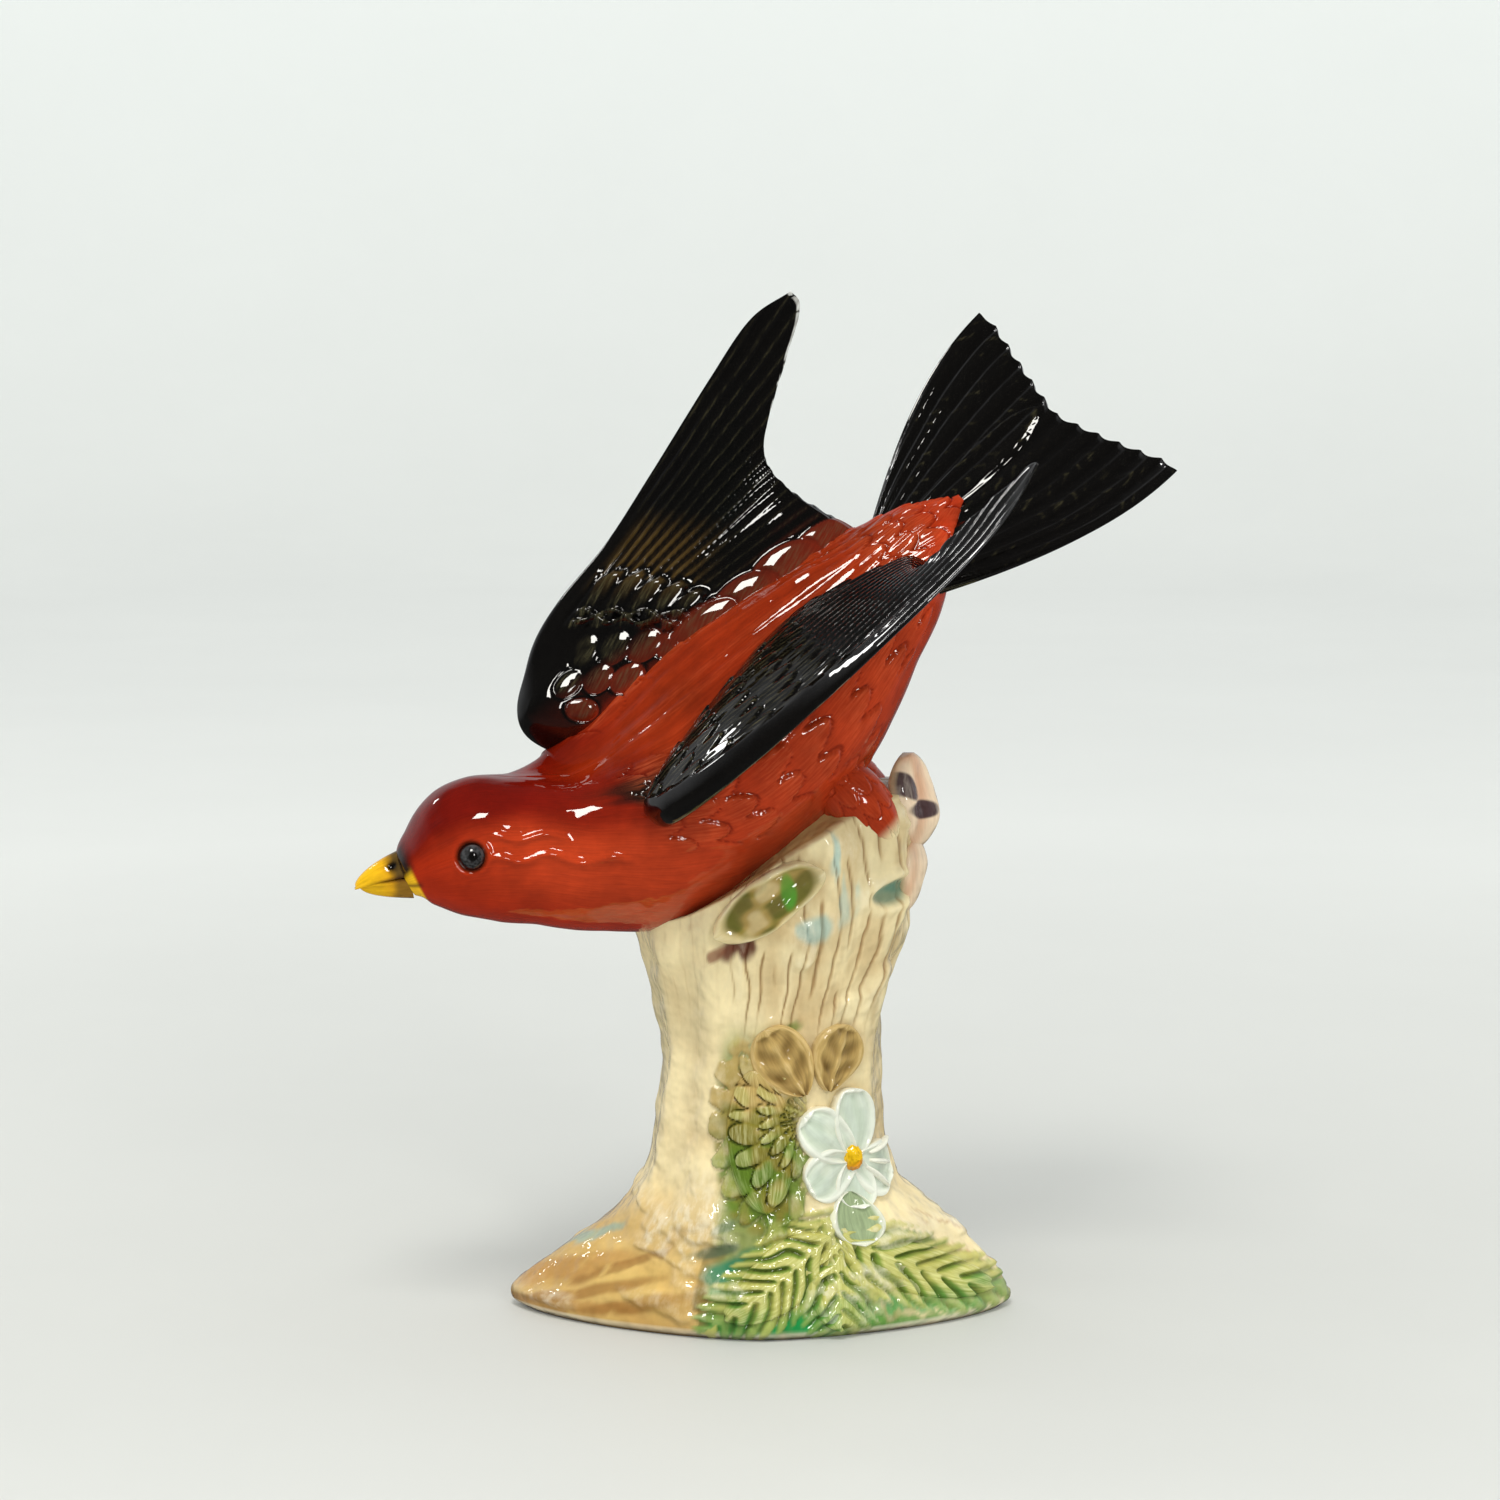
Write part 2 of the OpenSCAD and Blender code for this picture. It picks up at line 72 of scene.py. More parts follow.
def unit(v):
    return v / np.linalg.norm(v, axis=-1, keepdims=True)


def sin_d(angle):
    return np.sin(np.radians(angle))


def cos_d(angle):
    return np.cos(np.radians(angle))


def along(rows, s):
    """The smooth curve through all rows at places s, counted in rows."""
    rows = np.asarray(rows, float)
    s = np.asarray(s, float)
    last = len(rows) - 1
    i = np.clip(np.floor(s).astype(int), 0, last - 1)
    padded = np.concatenate([[2 * rows[0] - rows[1]], rows, [2 * rows[last] - rows[last - 1]]])
    t = (s - i)[..., None]
    a, b, c, d = (padded[i + k] for k in range(4))
    return (2 * b + (c - a) * t + (2 * a - 5 * b + 4 * c - d) * t**2 + (3 * b - a - 3 * c + d) * t**3) / 2


def at_value(rows, x):
    """The row at value x of the first column."""
    first = np.array([row[0] for row in rows])
    i = np.clip(np.searchsorted(first, x, side="right") - 1, 0, len(rows) - 2)
    return along(rows, i + clamp01((x - first[i]) / (first[i + 1] - first[i])))


def rgb(code):
    """Linear colour of a six-digit sRGB code."""
    parts = np.array([int(code[i : i + 2], 16) / 255 for i in (0, 2, 4)])
    return np.where(parts <= 0.04045, parts / 12.92, ((parts + 0.055) / 1.055) ** 2.4)


def noise(points, size, seed=0):
    """Smooth values from -1 to 1 that change over about size millimetres."""
    place = points / size + 31.7 * seed + 900
    cell = np.floor(place).astype(np.int64)
    part = place - cell
    part = part * part * (3 - 2 * part)
    total = np.zeros(points.shape[:-1])
    for corner in np.ndindex(2, 2, 2):
        at = cell + np.array(corner)
        key = at[..., 0] * 73856093 ^ at[..., 1] * 19349663 ^ at[..., 2] * 83492791
        key = (key ^ (key >> 13)) * 1274126177
        value = ((key ^ (key >> 16)) & 0xFFFF) / 32767.5 - 1
        total += value * np.prod(np.where(corner, part, 1 - part), axis=-1)
    return total


def layered_noise(points, size, seed=0, layers=3):
    return sum(noise(points, size / 2**k, seed + k) / 2**k for k in range(layers)) / 1.6


def xyz(x, y, z):
    """Points from three grids, or from numbers that hold over a whole grid."""
    return np.stack(np.broadcast_arrays(x, y, z), -1)


def around(start, end, rows, cols):
    """The place along and the angle round, for every place on a grid of closed rings."""
    angles = np.linspace(0, 360, cols, endpoint=False)
    return np.meshgrid(np.linspace(start, end, rows), angles, indexing="ij")


def bell(x, width):
    return np.exp(-((x / width) ** 2))


def window(x, low, high, soft):
    """1 between low and high, with soft edges."""
    return ease((x - low) / soft + 0.5) * ease((high - x) / soft + 0.5)


def coat(colour, like):
    """One colour at every place of a grid."""
    return np.broadcast_to(colour, (*like.shape, 3))


def blend(base, colour, amount):
    """Paint colour, or a grid of colours, over base by amount from 0 to 1."""
    return base + (colour - base) * clamp01(amount)[..., None]


# ---------- paints ----------

SCARLET = rgb("A0280C")
FLANK_RED = rgb("B23A1A")
CRIMSON = rgb("660B05")
RUST = rgb("7E280B")
UMBER = rgb("3A1B10")
SOOT = rgb("12110E")
BLACK = rgb("080706")
WING_RED = rgb("5E1E0F")
WING_GOLD = rgb("55401E")
TIP_WHITE = rgb("C9C9C6")
BILL_YELLOW = rgb("EDB81E")
BILL_AMBER = rgb("D9931A")
BILL_GREY = rgb("3A3424")
IRIS_GREY = rgb("4A4A4C")
STUMP_CREAM = rgb("F0DEB0")
RIM_CREAM = rgb("F2EAD2")
HONEY = rgb("DCB86C")
TAN = rgb("B89562")
BARK_UMBER = rgb("94683A")
KNOT_TEAL = rgb("6F9A8A")
PETAL_BLUE = rgb("E0E6D8")
PETAL_GREY = rgb("C6D2C4")
PETAL_WHITE = rgb("ECEBDD")
EYE_YELLOW = rgb("F2C21C")
EYE_ORANGE = rgb("E0851A")
LEAF_GREY_GREEN = rgb("A3B48E")
LEAF_TAN = rgb("C8A868")
LEAF_BROWN = rgb("5E4319")
LEAF_OLIVE = rgb("82782E")
LEAF_BRIGHT = rgb("4FA83C")
FERN_CREAM = rgb("C2BE68")
FERN_GREEN = rgb("4E8026")
FERN_DARK = rgb("4A5420")
EMERALD = rgb("2A8A42")
STUB_TAN = rgb("B8A060")
BLOSSOM_PEACH = rgb("EAD0B2")
BLOSSOM_BLUSH = rgb("DDB49A")
AUBERGINE = rgb("35202E")


# ---------- the bird's own frame: +X toward the bill, +Y left, +Z back ----------

SHOULDER_MID = np.array([-23.4, -12, 80.4])    # where the frame starts, from the stump's axis
BIRD_TURN = (-30, 36, 197)                     # degrees about x, then y, then z

TRUNK_R = 17.6
HEAD_R = 10.2
WING_LEN = 77
WING_ROOT_T = 4.4
WING_TIP_T = 1.3


def turn_matrix(x, y, z):
    cx, cy, cz = (math.cos(math.radians(v)) for v in (x, y, z))
    sx, sy, sz = (math.sin(math.radians(v)) for v in (x, y, z))
    about_x = np.array([[1, 0, 0], [0, cx, -sx], [0, sx, cx]])
    about_y = np.array([[cy, 0, sy], [0, 1, 0], [-sy, 0, cy]])
    about_z = np.array([[cz, -sz, 0], [sz, cz, 0], [0, 0, 1]])
    return about_z @ about_y @ about_x


def to_world(points):
    return SHOULDER_MID + points @ turn_matrix(*BIRD_TURN).T


# Rings of the body from the bill to the rump: the middle's x, y and z, half the width, the
# height above and below the middle, and the roll in degrees
TRUNK = [
    [29.6, -7.9, 1.4, HEAD_R * 0.32, 3.0, 2.9, 38],
    [27.6, -7.4, 1.4, HEAD_R * 0.60, 6.0, 5.2, 38],
    [23.8, -6.3, 0.7, HEAD_R * 0.88, 9.5, 8.2, 38],
    [18.8, -4.8, -0.8, HEAD_R, 11.0, 10.4, 37],
    [13.0, -2.8, -3.4, HEAD_R * 1.05, 9.9, 11.8, 33],
    [6.0, -0.8, -7.0, HEAD_R * 1.16, 9.4, 14.2, 24],
    [-1.5, 0.0, -9.8, TRUNK_R * 0.81, 11.6, 18.0, 12],
    [-9.5, 0.0, -11.4, TRUNK_R * 0.94, 14.0, 19.6, 3],
    [-18.5, 0.0, -11.6, TRUNK_R, 15.2, 18.6, 0],
    [-28.5, 0.0, -10.4, TRUNK_R * 0.96, 14.6, 15.6, 0],
    [-38.5, 0.0, -8.2, TRUNK_R * 0.84, 12.6, 12.6, 0],
    [-47.0, 0.0, -5.6, TRUNK_R * 0.70, 9.6, 9.8, 0],
    [-54.0, 0.0, -3.4, TRUNK_R * 0.58, 7.0, 7.6, 0],
    # the rump's coverts, which run on over the root of the tail and end in a point
    [-59.5, 0.0, -1.6, 7.4, 4.6, 4.6, 0],
    [-63.0, 0.1, -0.9, 5.2, 2.9, 2.4, 0],
    [-66.2, 0.3, -0.3, 2.2, 1.5, 1.2, 0],
    [-68.2, 0.4, 0.2, 0.5, 0.4, 0.2, 0],
]


def trunk_frame(s):
    """Middle, left, up and row of the trunk's ring at station place s."""
    row = along(TRUNK, s)
    forward = unit(along(TRUNK, s - 0.1)[..., :3] - along(TRUNK, s + 0.1)[..., :3])
    roll = row[..., 6]
    tilt = xyz(0, -sin_d(roll), cos_d(roll))
    left = unit(np.cross(tilt, forward))
    return row[..., :3], left, np.cross(forward, left), row


def trunk_points(s, a):
    middle, left, up, row = trunk_frame(s)
    tall = np.where(sin_d(a) > 0, row[..., 4], row[..., 5])
    return middle + left * (row[..., 3] * cos_d(a))[..., None] + up * (tall * sin_d(a))[..., None]


# A wing's pose: its root, the way out along it, and the way its top face looks
LEFT_POSE = ((-0.4, 10.8, 1), (-67.1, 18, 24.5), (0.132, -0.581, 0.803))
RIGHT_POSE = ((1.9, 12.3, -1.1), (-69.6, 17.3, 27), (0.152, -0.679, 0.718))
# Outlines out along the wing and across it, in parts of its length
LEADING = [
    [0, 0], [0.043, -0.061], [0.088, -0.099], [0.171, -0.124], [0.27, -0.12],
    [0.41, -0.092], [0.565, -0.078], [0.78, -0.062], [0.918, -0.045], [1, 0],
]
ROOT = [[0.1, 0.08], [0.21, 0.15], [0.345, 0.225], [0.47, 0.292], [0.62, 0.352], [0.663, 0.345]]
FEATHER_TIPS = [
    [1, 0], [0.979, 0.03], [0.881, 0.051], [0.783, 0.07], [0.717, 0.09],
    [0.682, 0.125], [0.666, 0.185], [0.662, 0.253], [0.66, 0.309], [0.663, 0.345],
]


def wing_place(q, t):
    """Place in the wing's plane: q from the leading edge to the edge beside the body, t from
    the shoulder to the feather tips."""
    lead = along(LEADING, t * (len(LEADING) - 1))
    root = along(ROOT, t * (len(ROOT) - 1))
    tips = along(FEATHER_TIPS, q * (len(FEATHER_TIPS) - 1))
    straight = mix(np.array(LEADING[-1]), np.array(ROOT[-1]), q[..., None])
    pull = clamp01((t - 0.35) / 0.65)[..., None] ** 2
    return WING_LEN * (mix(lead, root, q[..., None]) + (tips - straight) * pull)


def wing_thickness(q, t):
    return mix(mix(WING_ROOT_T * 1.7, WING_ROOT_T, q), WING_TIP_T, ease(t * 1.15))


# Bend in mm at even steps from the root to the tip
LEAD_DROOP = [[1.3], [1.7], [2.4], [3.7], [3], [0]]
BODY_ARCH = [[0], [2.3], [3.3], [2.2], [-2.4], [-5.6]]


def wing_bend(q, t):
    droop = along(LEAD_DROOP, t * (len(LEAD_DROOP) - 1))[..., 0]
    arch = along(BODY_ARCH, t * (len(BODY_ARCH) - 1))[..., 0]
    return arch * q**1.3 - droop * (1 - q) ** 1.6


def wing_points(pose, q, t, side):
    out = unit(np.array(pose[1], float))
    across = unit(np.cross(pose[2], out))
    up = np.cross(out, across)
    place = wing_place(q, t)
    rise = wing_bend(q, t) + side * wing_thickness(q, t) / 2
    return np.array(pose[0]) + place[..., :1] * out + place[..., 1:] * across + rise[..., None] * up


# ---------- tail ----------

TAIL_START = np.array([-54, 0, -3])
TAIL_TURN = -1.2
TAIL_LEN = 33.2
TAIL_HALF = 25.4
TAIL_TIP_T = 1.5
TAIL_FEATHERS = 12
TAIL_ROOT_HALF = 7.6
TAIL_ROOT_T = 5.4
TAIL_SWALLOW = 5.2
TAIL_NOTCH = 0.6
TAIL_LIFT = 4.4
TAIL_DISH = 2.4


def tail_place(p, t):
    """Place in the tail: p across it from -1 to 1, t from its root to the feather tips."""
    scallop = TAIL_NOTCH * np.abs(sin_d(p * 90 * TAIL_FEATHERS))
    round_corner = 1.2 * np.abs(p) ** 16
    reach = TAIL_LEN + TAIL_SWALLOW * np.abs(p) ** 1.1 - scallop - round_corner
    half = mix(TAIL_ROOT_HALF, TAIL_HALF, sin_d(90 * np.minimum(1, t)))
    return xyz(-reach * t, half * p, t * (TAIL_LIFT + TAIL_DISH * p * p))


def tail_thickness(t):
    return mix(TAIL_ROOT_T, TAIL_TIP_T, ease(t * 1.4))


def tail_points(p, t, rise):
    """rise is 1 on the top face and -1 underneath."""
    place = tail_place(p, t)
    place[..., 2] += rise * tail_thickness(t) / 2
    return TAIL_START + place @ turn_matrix(0, 0, TAIL_TURN).T


# ---------- meshes ----------


def grid_normals(points):
    """Outward normals of a grid of points whose columns close into rings."""
    padded = np.concatenate([points[:, -1:], points, points[:, :1]], axis=1)
    across = padded[:, 2:] - padded[:, :-2]
    down = np.gradient(points, axis=0)
    normals = np.cross(down, across)
    normals = normals / (np.linalg.norm(normals, axis=-1, keepdims=True) + 1e-9)
    outward = points - points.mean(axis=1, keepdims=True)
    return normals if np.sum(normals * outward) > 0 else -normals


def raised(points, height):
    return points + grid_normals(points) * height[..., None]


def ring_quads(rows, cols):
    """Quads between the rings of a grid."""
    here = np.arange(cols)
    beside = (here + 1) % cols
    start = np.arange(rows - 1)[:, None] * cols
    quads = np.stack([start + here, start + beside, start + cols + beside, start + cols + here], -1)
    return quads.reshape(-1, 4)


def fan_ends(rows, cols):
    """A fan from each end ring to the two points that come after the grid."""
    here = np.arange(cols)
    beside = (here + 1) % cols
    last = (rows - 1) * cols
    first_fan = xyz(beside, here, np.full(cols, rows * cols))
    last_fan = xyz(last + here, last + beside, np.full(cols, rows * cols + 1))
    return np.concatenate([first_fan, last_fan])


def strip_ends(rows, cols):
    """A strip across each end ring, between its upper and its lower half."""
    i = np.arange(cols // 2)
    across = np.stack([i, i + 1, cols - i - 1, (cols - i) % cols], -1)
    strip = np.concatenate([across[:, [0, 2, 1]], across[:, [0, 3, 2]]])
    strip = strip[[len(set(face)) == 3 for face in strip.tolist()]]
    return np.concatenate([strip, (rows - 1) * cols + strip[:, ::-1]])


def signed_volume(vertices, faces):
    a, b = vertices[faces[:, 0]], vertices[faces[:, 1]]
    total = 0.0
    for k in range(2, faces.shape[1]):
        c = vertices[faces[:, k]]
        total += np.sum(a * np.cross(b, c)) / 6
        b = c
    return total


def flat_list(values):
    """A grid's values as one list of points."""
    return values.reshape(values.shape[0] * values.shape[1], -1)


def ringed(values):
    """A grid's values as one list, with the mean of each end ring added."""
    flat = flat_list(values)
    cols = values.shape[1]
    return np.concatenate([flat, flat[:cols].mean(0)[None], flat[-cols:].mean(0)[None]])


def add_layer(mesh, name, kind, field, values):
    """A named attribute at every vertex, for the mesh's glaze to read."""
    layer = mesh.attributes.new(name, kind, "POINT")
    layer.data.foreach_set(field, values.astype(np.float32).ravel())


def add_piece(name, points, layers, slot, nodes, close=fan_ends):
    """A closed smooth mesh through a grid of points in mm, standing for the CAD nodes. Its
    layers are paint, relief and grain, and its glaze has the name of its slot."""
    rows, cols = points.shape[:2]
    paint, relief, grain = layers
    with_ends = ringed if close is fan_ends else flat_list
    vertices = (with_ends(points) + AXIS_PLACE) * MM
    quads, ends = ring_quads(rows, cols), close(rows, cols)
    if signed_volume(vertices, quads) + signed_volume(vertices, ends) < 0:
        quads, ends = quads[:, ::-1], ends[:, ::-1]
    mesh = bpy.data.meshes.new(name)
    mesh.from_pydata(vertices.tolist(), [], quads.tolist() + ends.tolist())
    mesh.polygons.foreach_set("use_smooth", np.ones(len(mesh.polygons), bool))
    colours = with_ends(paint)
    add_layer(mesh, "paint", "FLOAT_COLOR", "color", np.c_[colours, np.ones(len(colours))])
    add_layer(mesh, "relief", "FLOAT", "value", with_ends(relief))
    add_layer(mesh, "grain", "FLOAT_VECTOR", "vector", with_ends(grain))
    mesh.materials.append(looks[slot])
    piece = bpy.data.objects.new(name, mesh)
    bpy.context.scene.collection.objects.link(piece)
    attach(piece, "root")
    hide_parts(*nodes)


# ---------- glazes ----------


def add_node(tree, kind, sockets=None, **settings):
    new = tree.nodes.new(kind)
    for key, value in settings.items():
        setattr(new, key, value)
    for key, value in (sockets or {}).items():
        if isinstance(value, bpy.types.NodeSocket):
            tree.links.new(value, new.inputs[key])
        else:
            new.inputs[key].default_value = value
    return new


def attribute(tree, name):
    return add_node(tree, "ShaderNodeAttribute", attribute_name=name)


def remap(tree, value, low, high, to_low, to_high):
    """A value taken from one range to another, and held at the ends."""
    return add_node(tree, "ShaderNodeMapRange", {
        "Value": value, "From Min": low, "From Max": high, "To Min": to_low, "To Max": to_high,
    }).outputs["Result"]


def times(tree, a, b):
    return add_node(tree, "ShaderNodeMath", {0: a, 1: b}, operation="MULTIPLY").outputs[0]


def mix_colour(tree, amount, a, b, kind="MIX"):
    return add_node(tree, "ShaderNodeMix", {0: amount, 6: a, 7: b},
                    data_type="RGBA", blend_type=kind).outputs[2]


def noise_value(tree, vector, scale, detail=3, stretch=None):
    if stretch:
        vector = add_node(tree, "ShaderNodeMapping", {"Vector": vector, "Scale": stretch}).outputs[0]
    return add_node(tree, "ShaderNodeTexNoise", {
        "Vector": vector, "Scale": scale, "Detail": detail, "Roughness": 0.6,
    }).outputs["Fac"]


def opaque(colour):
    return (*colour, 1.0)


CLOUD_SCALE = 110
RIPPLE_SCALE = 210
COAT = {"Coat Weight": 1.0, "Coat Roughness": 0.025, "Coat IOR": 1.62, "Specular IOR Level": 0.0}


def glaze(name, pool_and_shade, bloom_and_highlight, pool_and_shade_depth=0.8, bloom_and_highlight_depth=0.5, streak=0.2, stroke=(0.25, 2.2, 1),
          cloud=0.12, wave=0.10, roughness=0.35):
    """Clear gloss glaze over hand painting. Paint darkens toward the pool tint in grooves, partly where the
    glaze gathers and partly as painted shade, and turns toward the bloom colour on ridges and along brush
    strokes, partly where the glaze thins and partly as a painted highlight.
    wave is the height in mm of the glaze's own ripple."""
    material = bpy.data.materials.new(name)
    material.use_nodes = True
    tree = material.node_tree
    shader = tree.nodes["Principled BSDF"]
    paint = attribute(tree, "paint").outputs["Color"]
    relief = attribute(tree, "relief").outputs["Fac"]
    grain = attribute(tree, "grain").outputs["Vector"]
    place = add_node(tree, "ShaderNodeTexCoord").outputs["Object"]
    strokes = noise_value(tree, grain, 1.0, 4, stroke)
    clouds = noise_value(tree, place, CLOUD_SCALE, 4)

    # partly painted shade: the paint darkens in grooves, partly from glaze gathering there
    in_grooves = remap(tree, relief, -1, 0.05, pool_and_shade_depth, 0)
    pooled_and_shaded = times(tree, in_grooves, remap(tree, clouds, 0.3, 0.6, 0.7, 1))
    colour = mix_colour(tree, pooled_and_shaded, paint, mix_colour(tree, 1.0, paint, opaque(pool_and_shade), "MULTIPLY"))
    # partly a painted highlight: the paint lightens on ridges and along strokes, partly from glaze thinning
    # there
    on_ridges = remap(tree, relief, 0.15, 1, 0, bloom_and_highlight_depth)
    thinned_and_highlighted = times(tree, on_ridges, remap(tree, strokes, 0.42, 0.62, 0.1, 1))
    colour = mix_colour(tree, thinned_and_highlighted, colour, opaque(bloom_and_highlight))
    for pattern, depth in ((strokes, streak), (clouds, cloud)):
        shade = remap(tree, pattern, 0.3, 0.7, 1 - depth, 1 + depth)
        colour = mix_colour(tree, 1.0, colour, shade, "MULTIPLY")
    tree.links.new(colour, shader.inputs["Base Color"])

    ripple = noise_value(tree, place, RIPPLE_SCALE, 2)
    bump = add_node(tree, "ShaderNodeBump", {"Height": ripple, "Strength": 1.0, "Distance": wave * MM})
    for socket in ("Normal", "Coat Normal"):
        tree.links.new(bump.outputs["Normal"], shader.inputs[socket])
    shader.inputs["Roughness"].default_value = roughness
    for socket, value in COAT.items():
        shader.inputs[socket].default_value = value
    return material


# The glaze of each of the record's slots. The pool tint darkens grooves, partly as painted shade, and the
# bloom colour lightens ridges, partly as a painted highlight
GLAZES = {
    "scarlet_glaze": {"pool_and_shade": (0.42, 0.28, 0.22), "bloom_and_highlight": (0.55, 0.12, 0.045), "bloom_and_highlight_depth": 0.3,
                      "streak": 0.15, "cloud": 0.26, "wave": 0.2},
    "black_glaze": {"pool_and_shade": (0.45, 0.42, 0.40), "bloom_and_highlight": (0.055, 0.048, 0.024), "bloom_and_highlight_depth": 0.8,
                    "stroke": (0.35, 3.0, 1), "wave": 0.08},
    "yellow_glaze": {"pool_and_shade": (0.3, 0.2, 0.1), "bloom_and_highlight": (0.95, 0.66, 0.12), "bloom_and_highlight_depth": 0.3},
    "eye_glaze": {"pool_and_shade": (0.5, 0.5, 0.5), "bloom_and_highlight": (0.1, 0.1, 0.1), "bloom_and_highlight_depth": 0.2, "wave": 0.02},
    "stump_glaze": {"pool_and_shade": (0.50, 0.34, 0.17), "bloom_and_highlight": (0.86, 0.80, 0.64), "pool_and_shade_depth": 0.6,
                    "streak": 0.05, "stroke": (0.4, 0.8, 1), "wave": 1.2},
    "leaf_glaze": {"pool_and_shade": (0.40, 0.38, 0.18), "bloom_and_highlight": (0.66, 0.66, 0.38), "pool_and_shade_depth": 0.45, "wave": 1.0},
    "brown_glaze": {"pool_and_shade": (0.35, 0.25, 0.13), "bloom_and_highlight": (0.66, 0.55, 0.34), "pool_and_shade_depth": 0.45, "wave": 1.0},
    "petal_glaze": {"pool_and_shade": (0.70, 0.76, 0.62), "bloom_and_highlight": (0.86, 0.87, 0.82), "bloom_and_highlight_depth": 0.4,
                    "streak": 0.06, "wave": 0.7},
    "blossom_glaze": {"pool_and_shade": (0.75, 0.5, 0.35), "bloom_and_highlight": (0.90, 0.80, 0.66), "bloom_and_highlight_depth": 0.4,
                      "streak": 0.08, "wave": 1.0},
}
looks = {slot: glaze(slot, **settings) for slot, settings in GLAZES.items()}

# ---------- feathers as relief ----------


def shingles(x, y, pitch, width, tip, seed=0):
    """Overlapping feathers whose round tips point along +x. Gives the height (0 at a root to
    about 1 at a tip), how deep a point lies in the step under a tip (0 to 1), the place
    across its feather (-1 to 1) and a value from -1 to 1 that is the same all over a feather."""
    row = np.floor(x / pitch)
    height = np.zeros_like(x)
    step = np.zeros_like(x)
    across = np.zeros_like(x)
    own = np.zeros_like(x)
    open_still = np.ones_like(x, bool)
    for ahead in range(3):
        index = row + ahead
        shift = 0.5 * (index % 2)
        column = np.floor(y / width + shift)
        v = 2 * (y / width + shift - column) - 1
        key = xyz(index * 1.7, column * 2.3, seed)
        value = noise(key, 0.61, 5)
        edge = (index + 1) * pitch - tip * np.abs(v) ** 2.2 + 0.18 * pitch * value
        inside = open_still & (x < edge)
        from_tip = (edge - x) / (pitch + tip)
        rise = clamp01(1 - from_tip) * ease((edge - x) / 0.45) * (1 - 0.35 * v * v)
        height = np.where(inside, rise, height)
        across = np.where(inside, v, across)
        own = np.where(inside, value, own)
        step = np.where(open_still & ~inside, np.maximum(step, ease(1 - (x - edge) / 0.7)), step)
        open_still &= ~inside
    return height, step, across, own


def ribs(x, pitch):
    """Side by side feathers: each rises slowly and drops at its far edge. Gives height and place."""
    place = x / pitch - np.floor(x / pitch)
    return ease(place / 0.75) * (1 - ease((place - 0.8) / 0.2)), 2 * place - 1


def barbs(along_mm, across, pitch, slant):
    """Fine hair lines that slant away from a feather's shaft."""
    return np.sin(2 * np.pi * (along_mm + slant * np.abs(across)) / pitch)


# ---------- trunk: head, neck, body and rump ----------

TRUNK_RINGS, TRUNK_SIDES = 372, 264
GIRTH_STEP = 0.27                        # mm round the body or the stump for each degree
EYE_D = 4
EYE_STATION = 2.6
EYE_SINK = 1
EYE_RISE = 0.6


def eye_middle(side):
    """Middle of an eye in the bird's frame. side is 1 for the left eye and -1 for the right."""
    middle, left, up, row = trunk_frame(np.array(EYE_STATION))
    return middle + left * side * (row[3] - EYE_SINK) + up * EYE_RISE


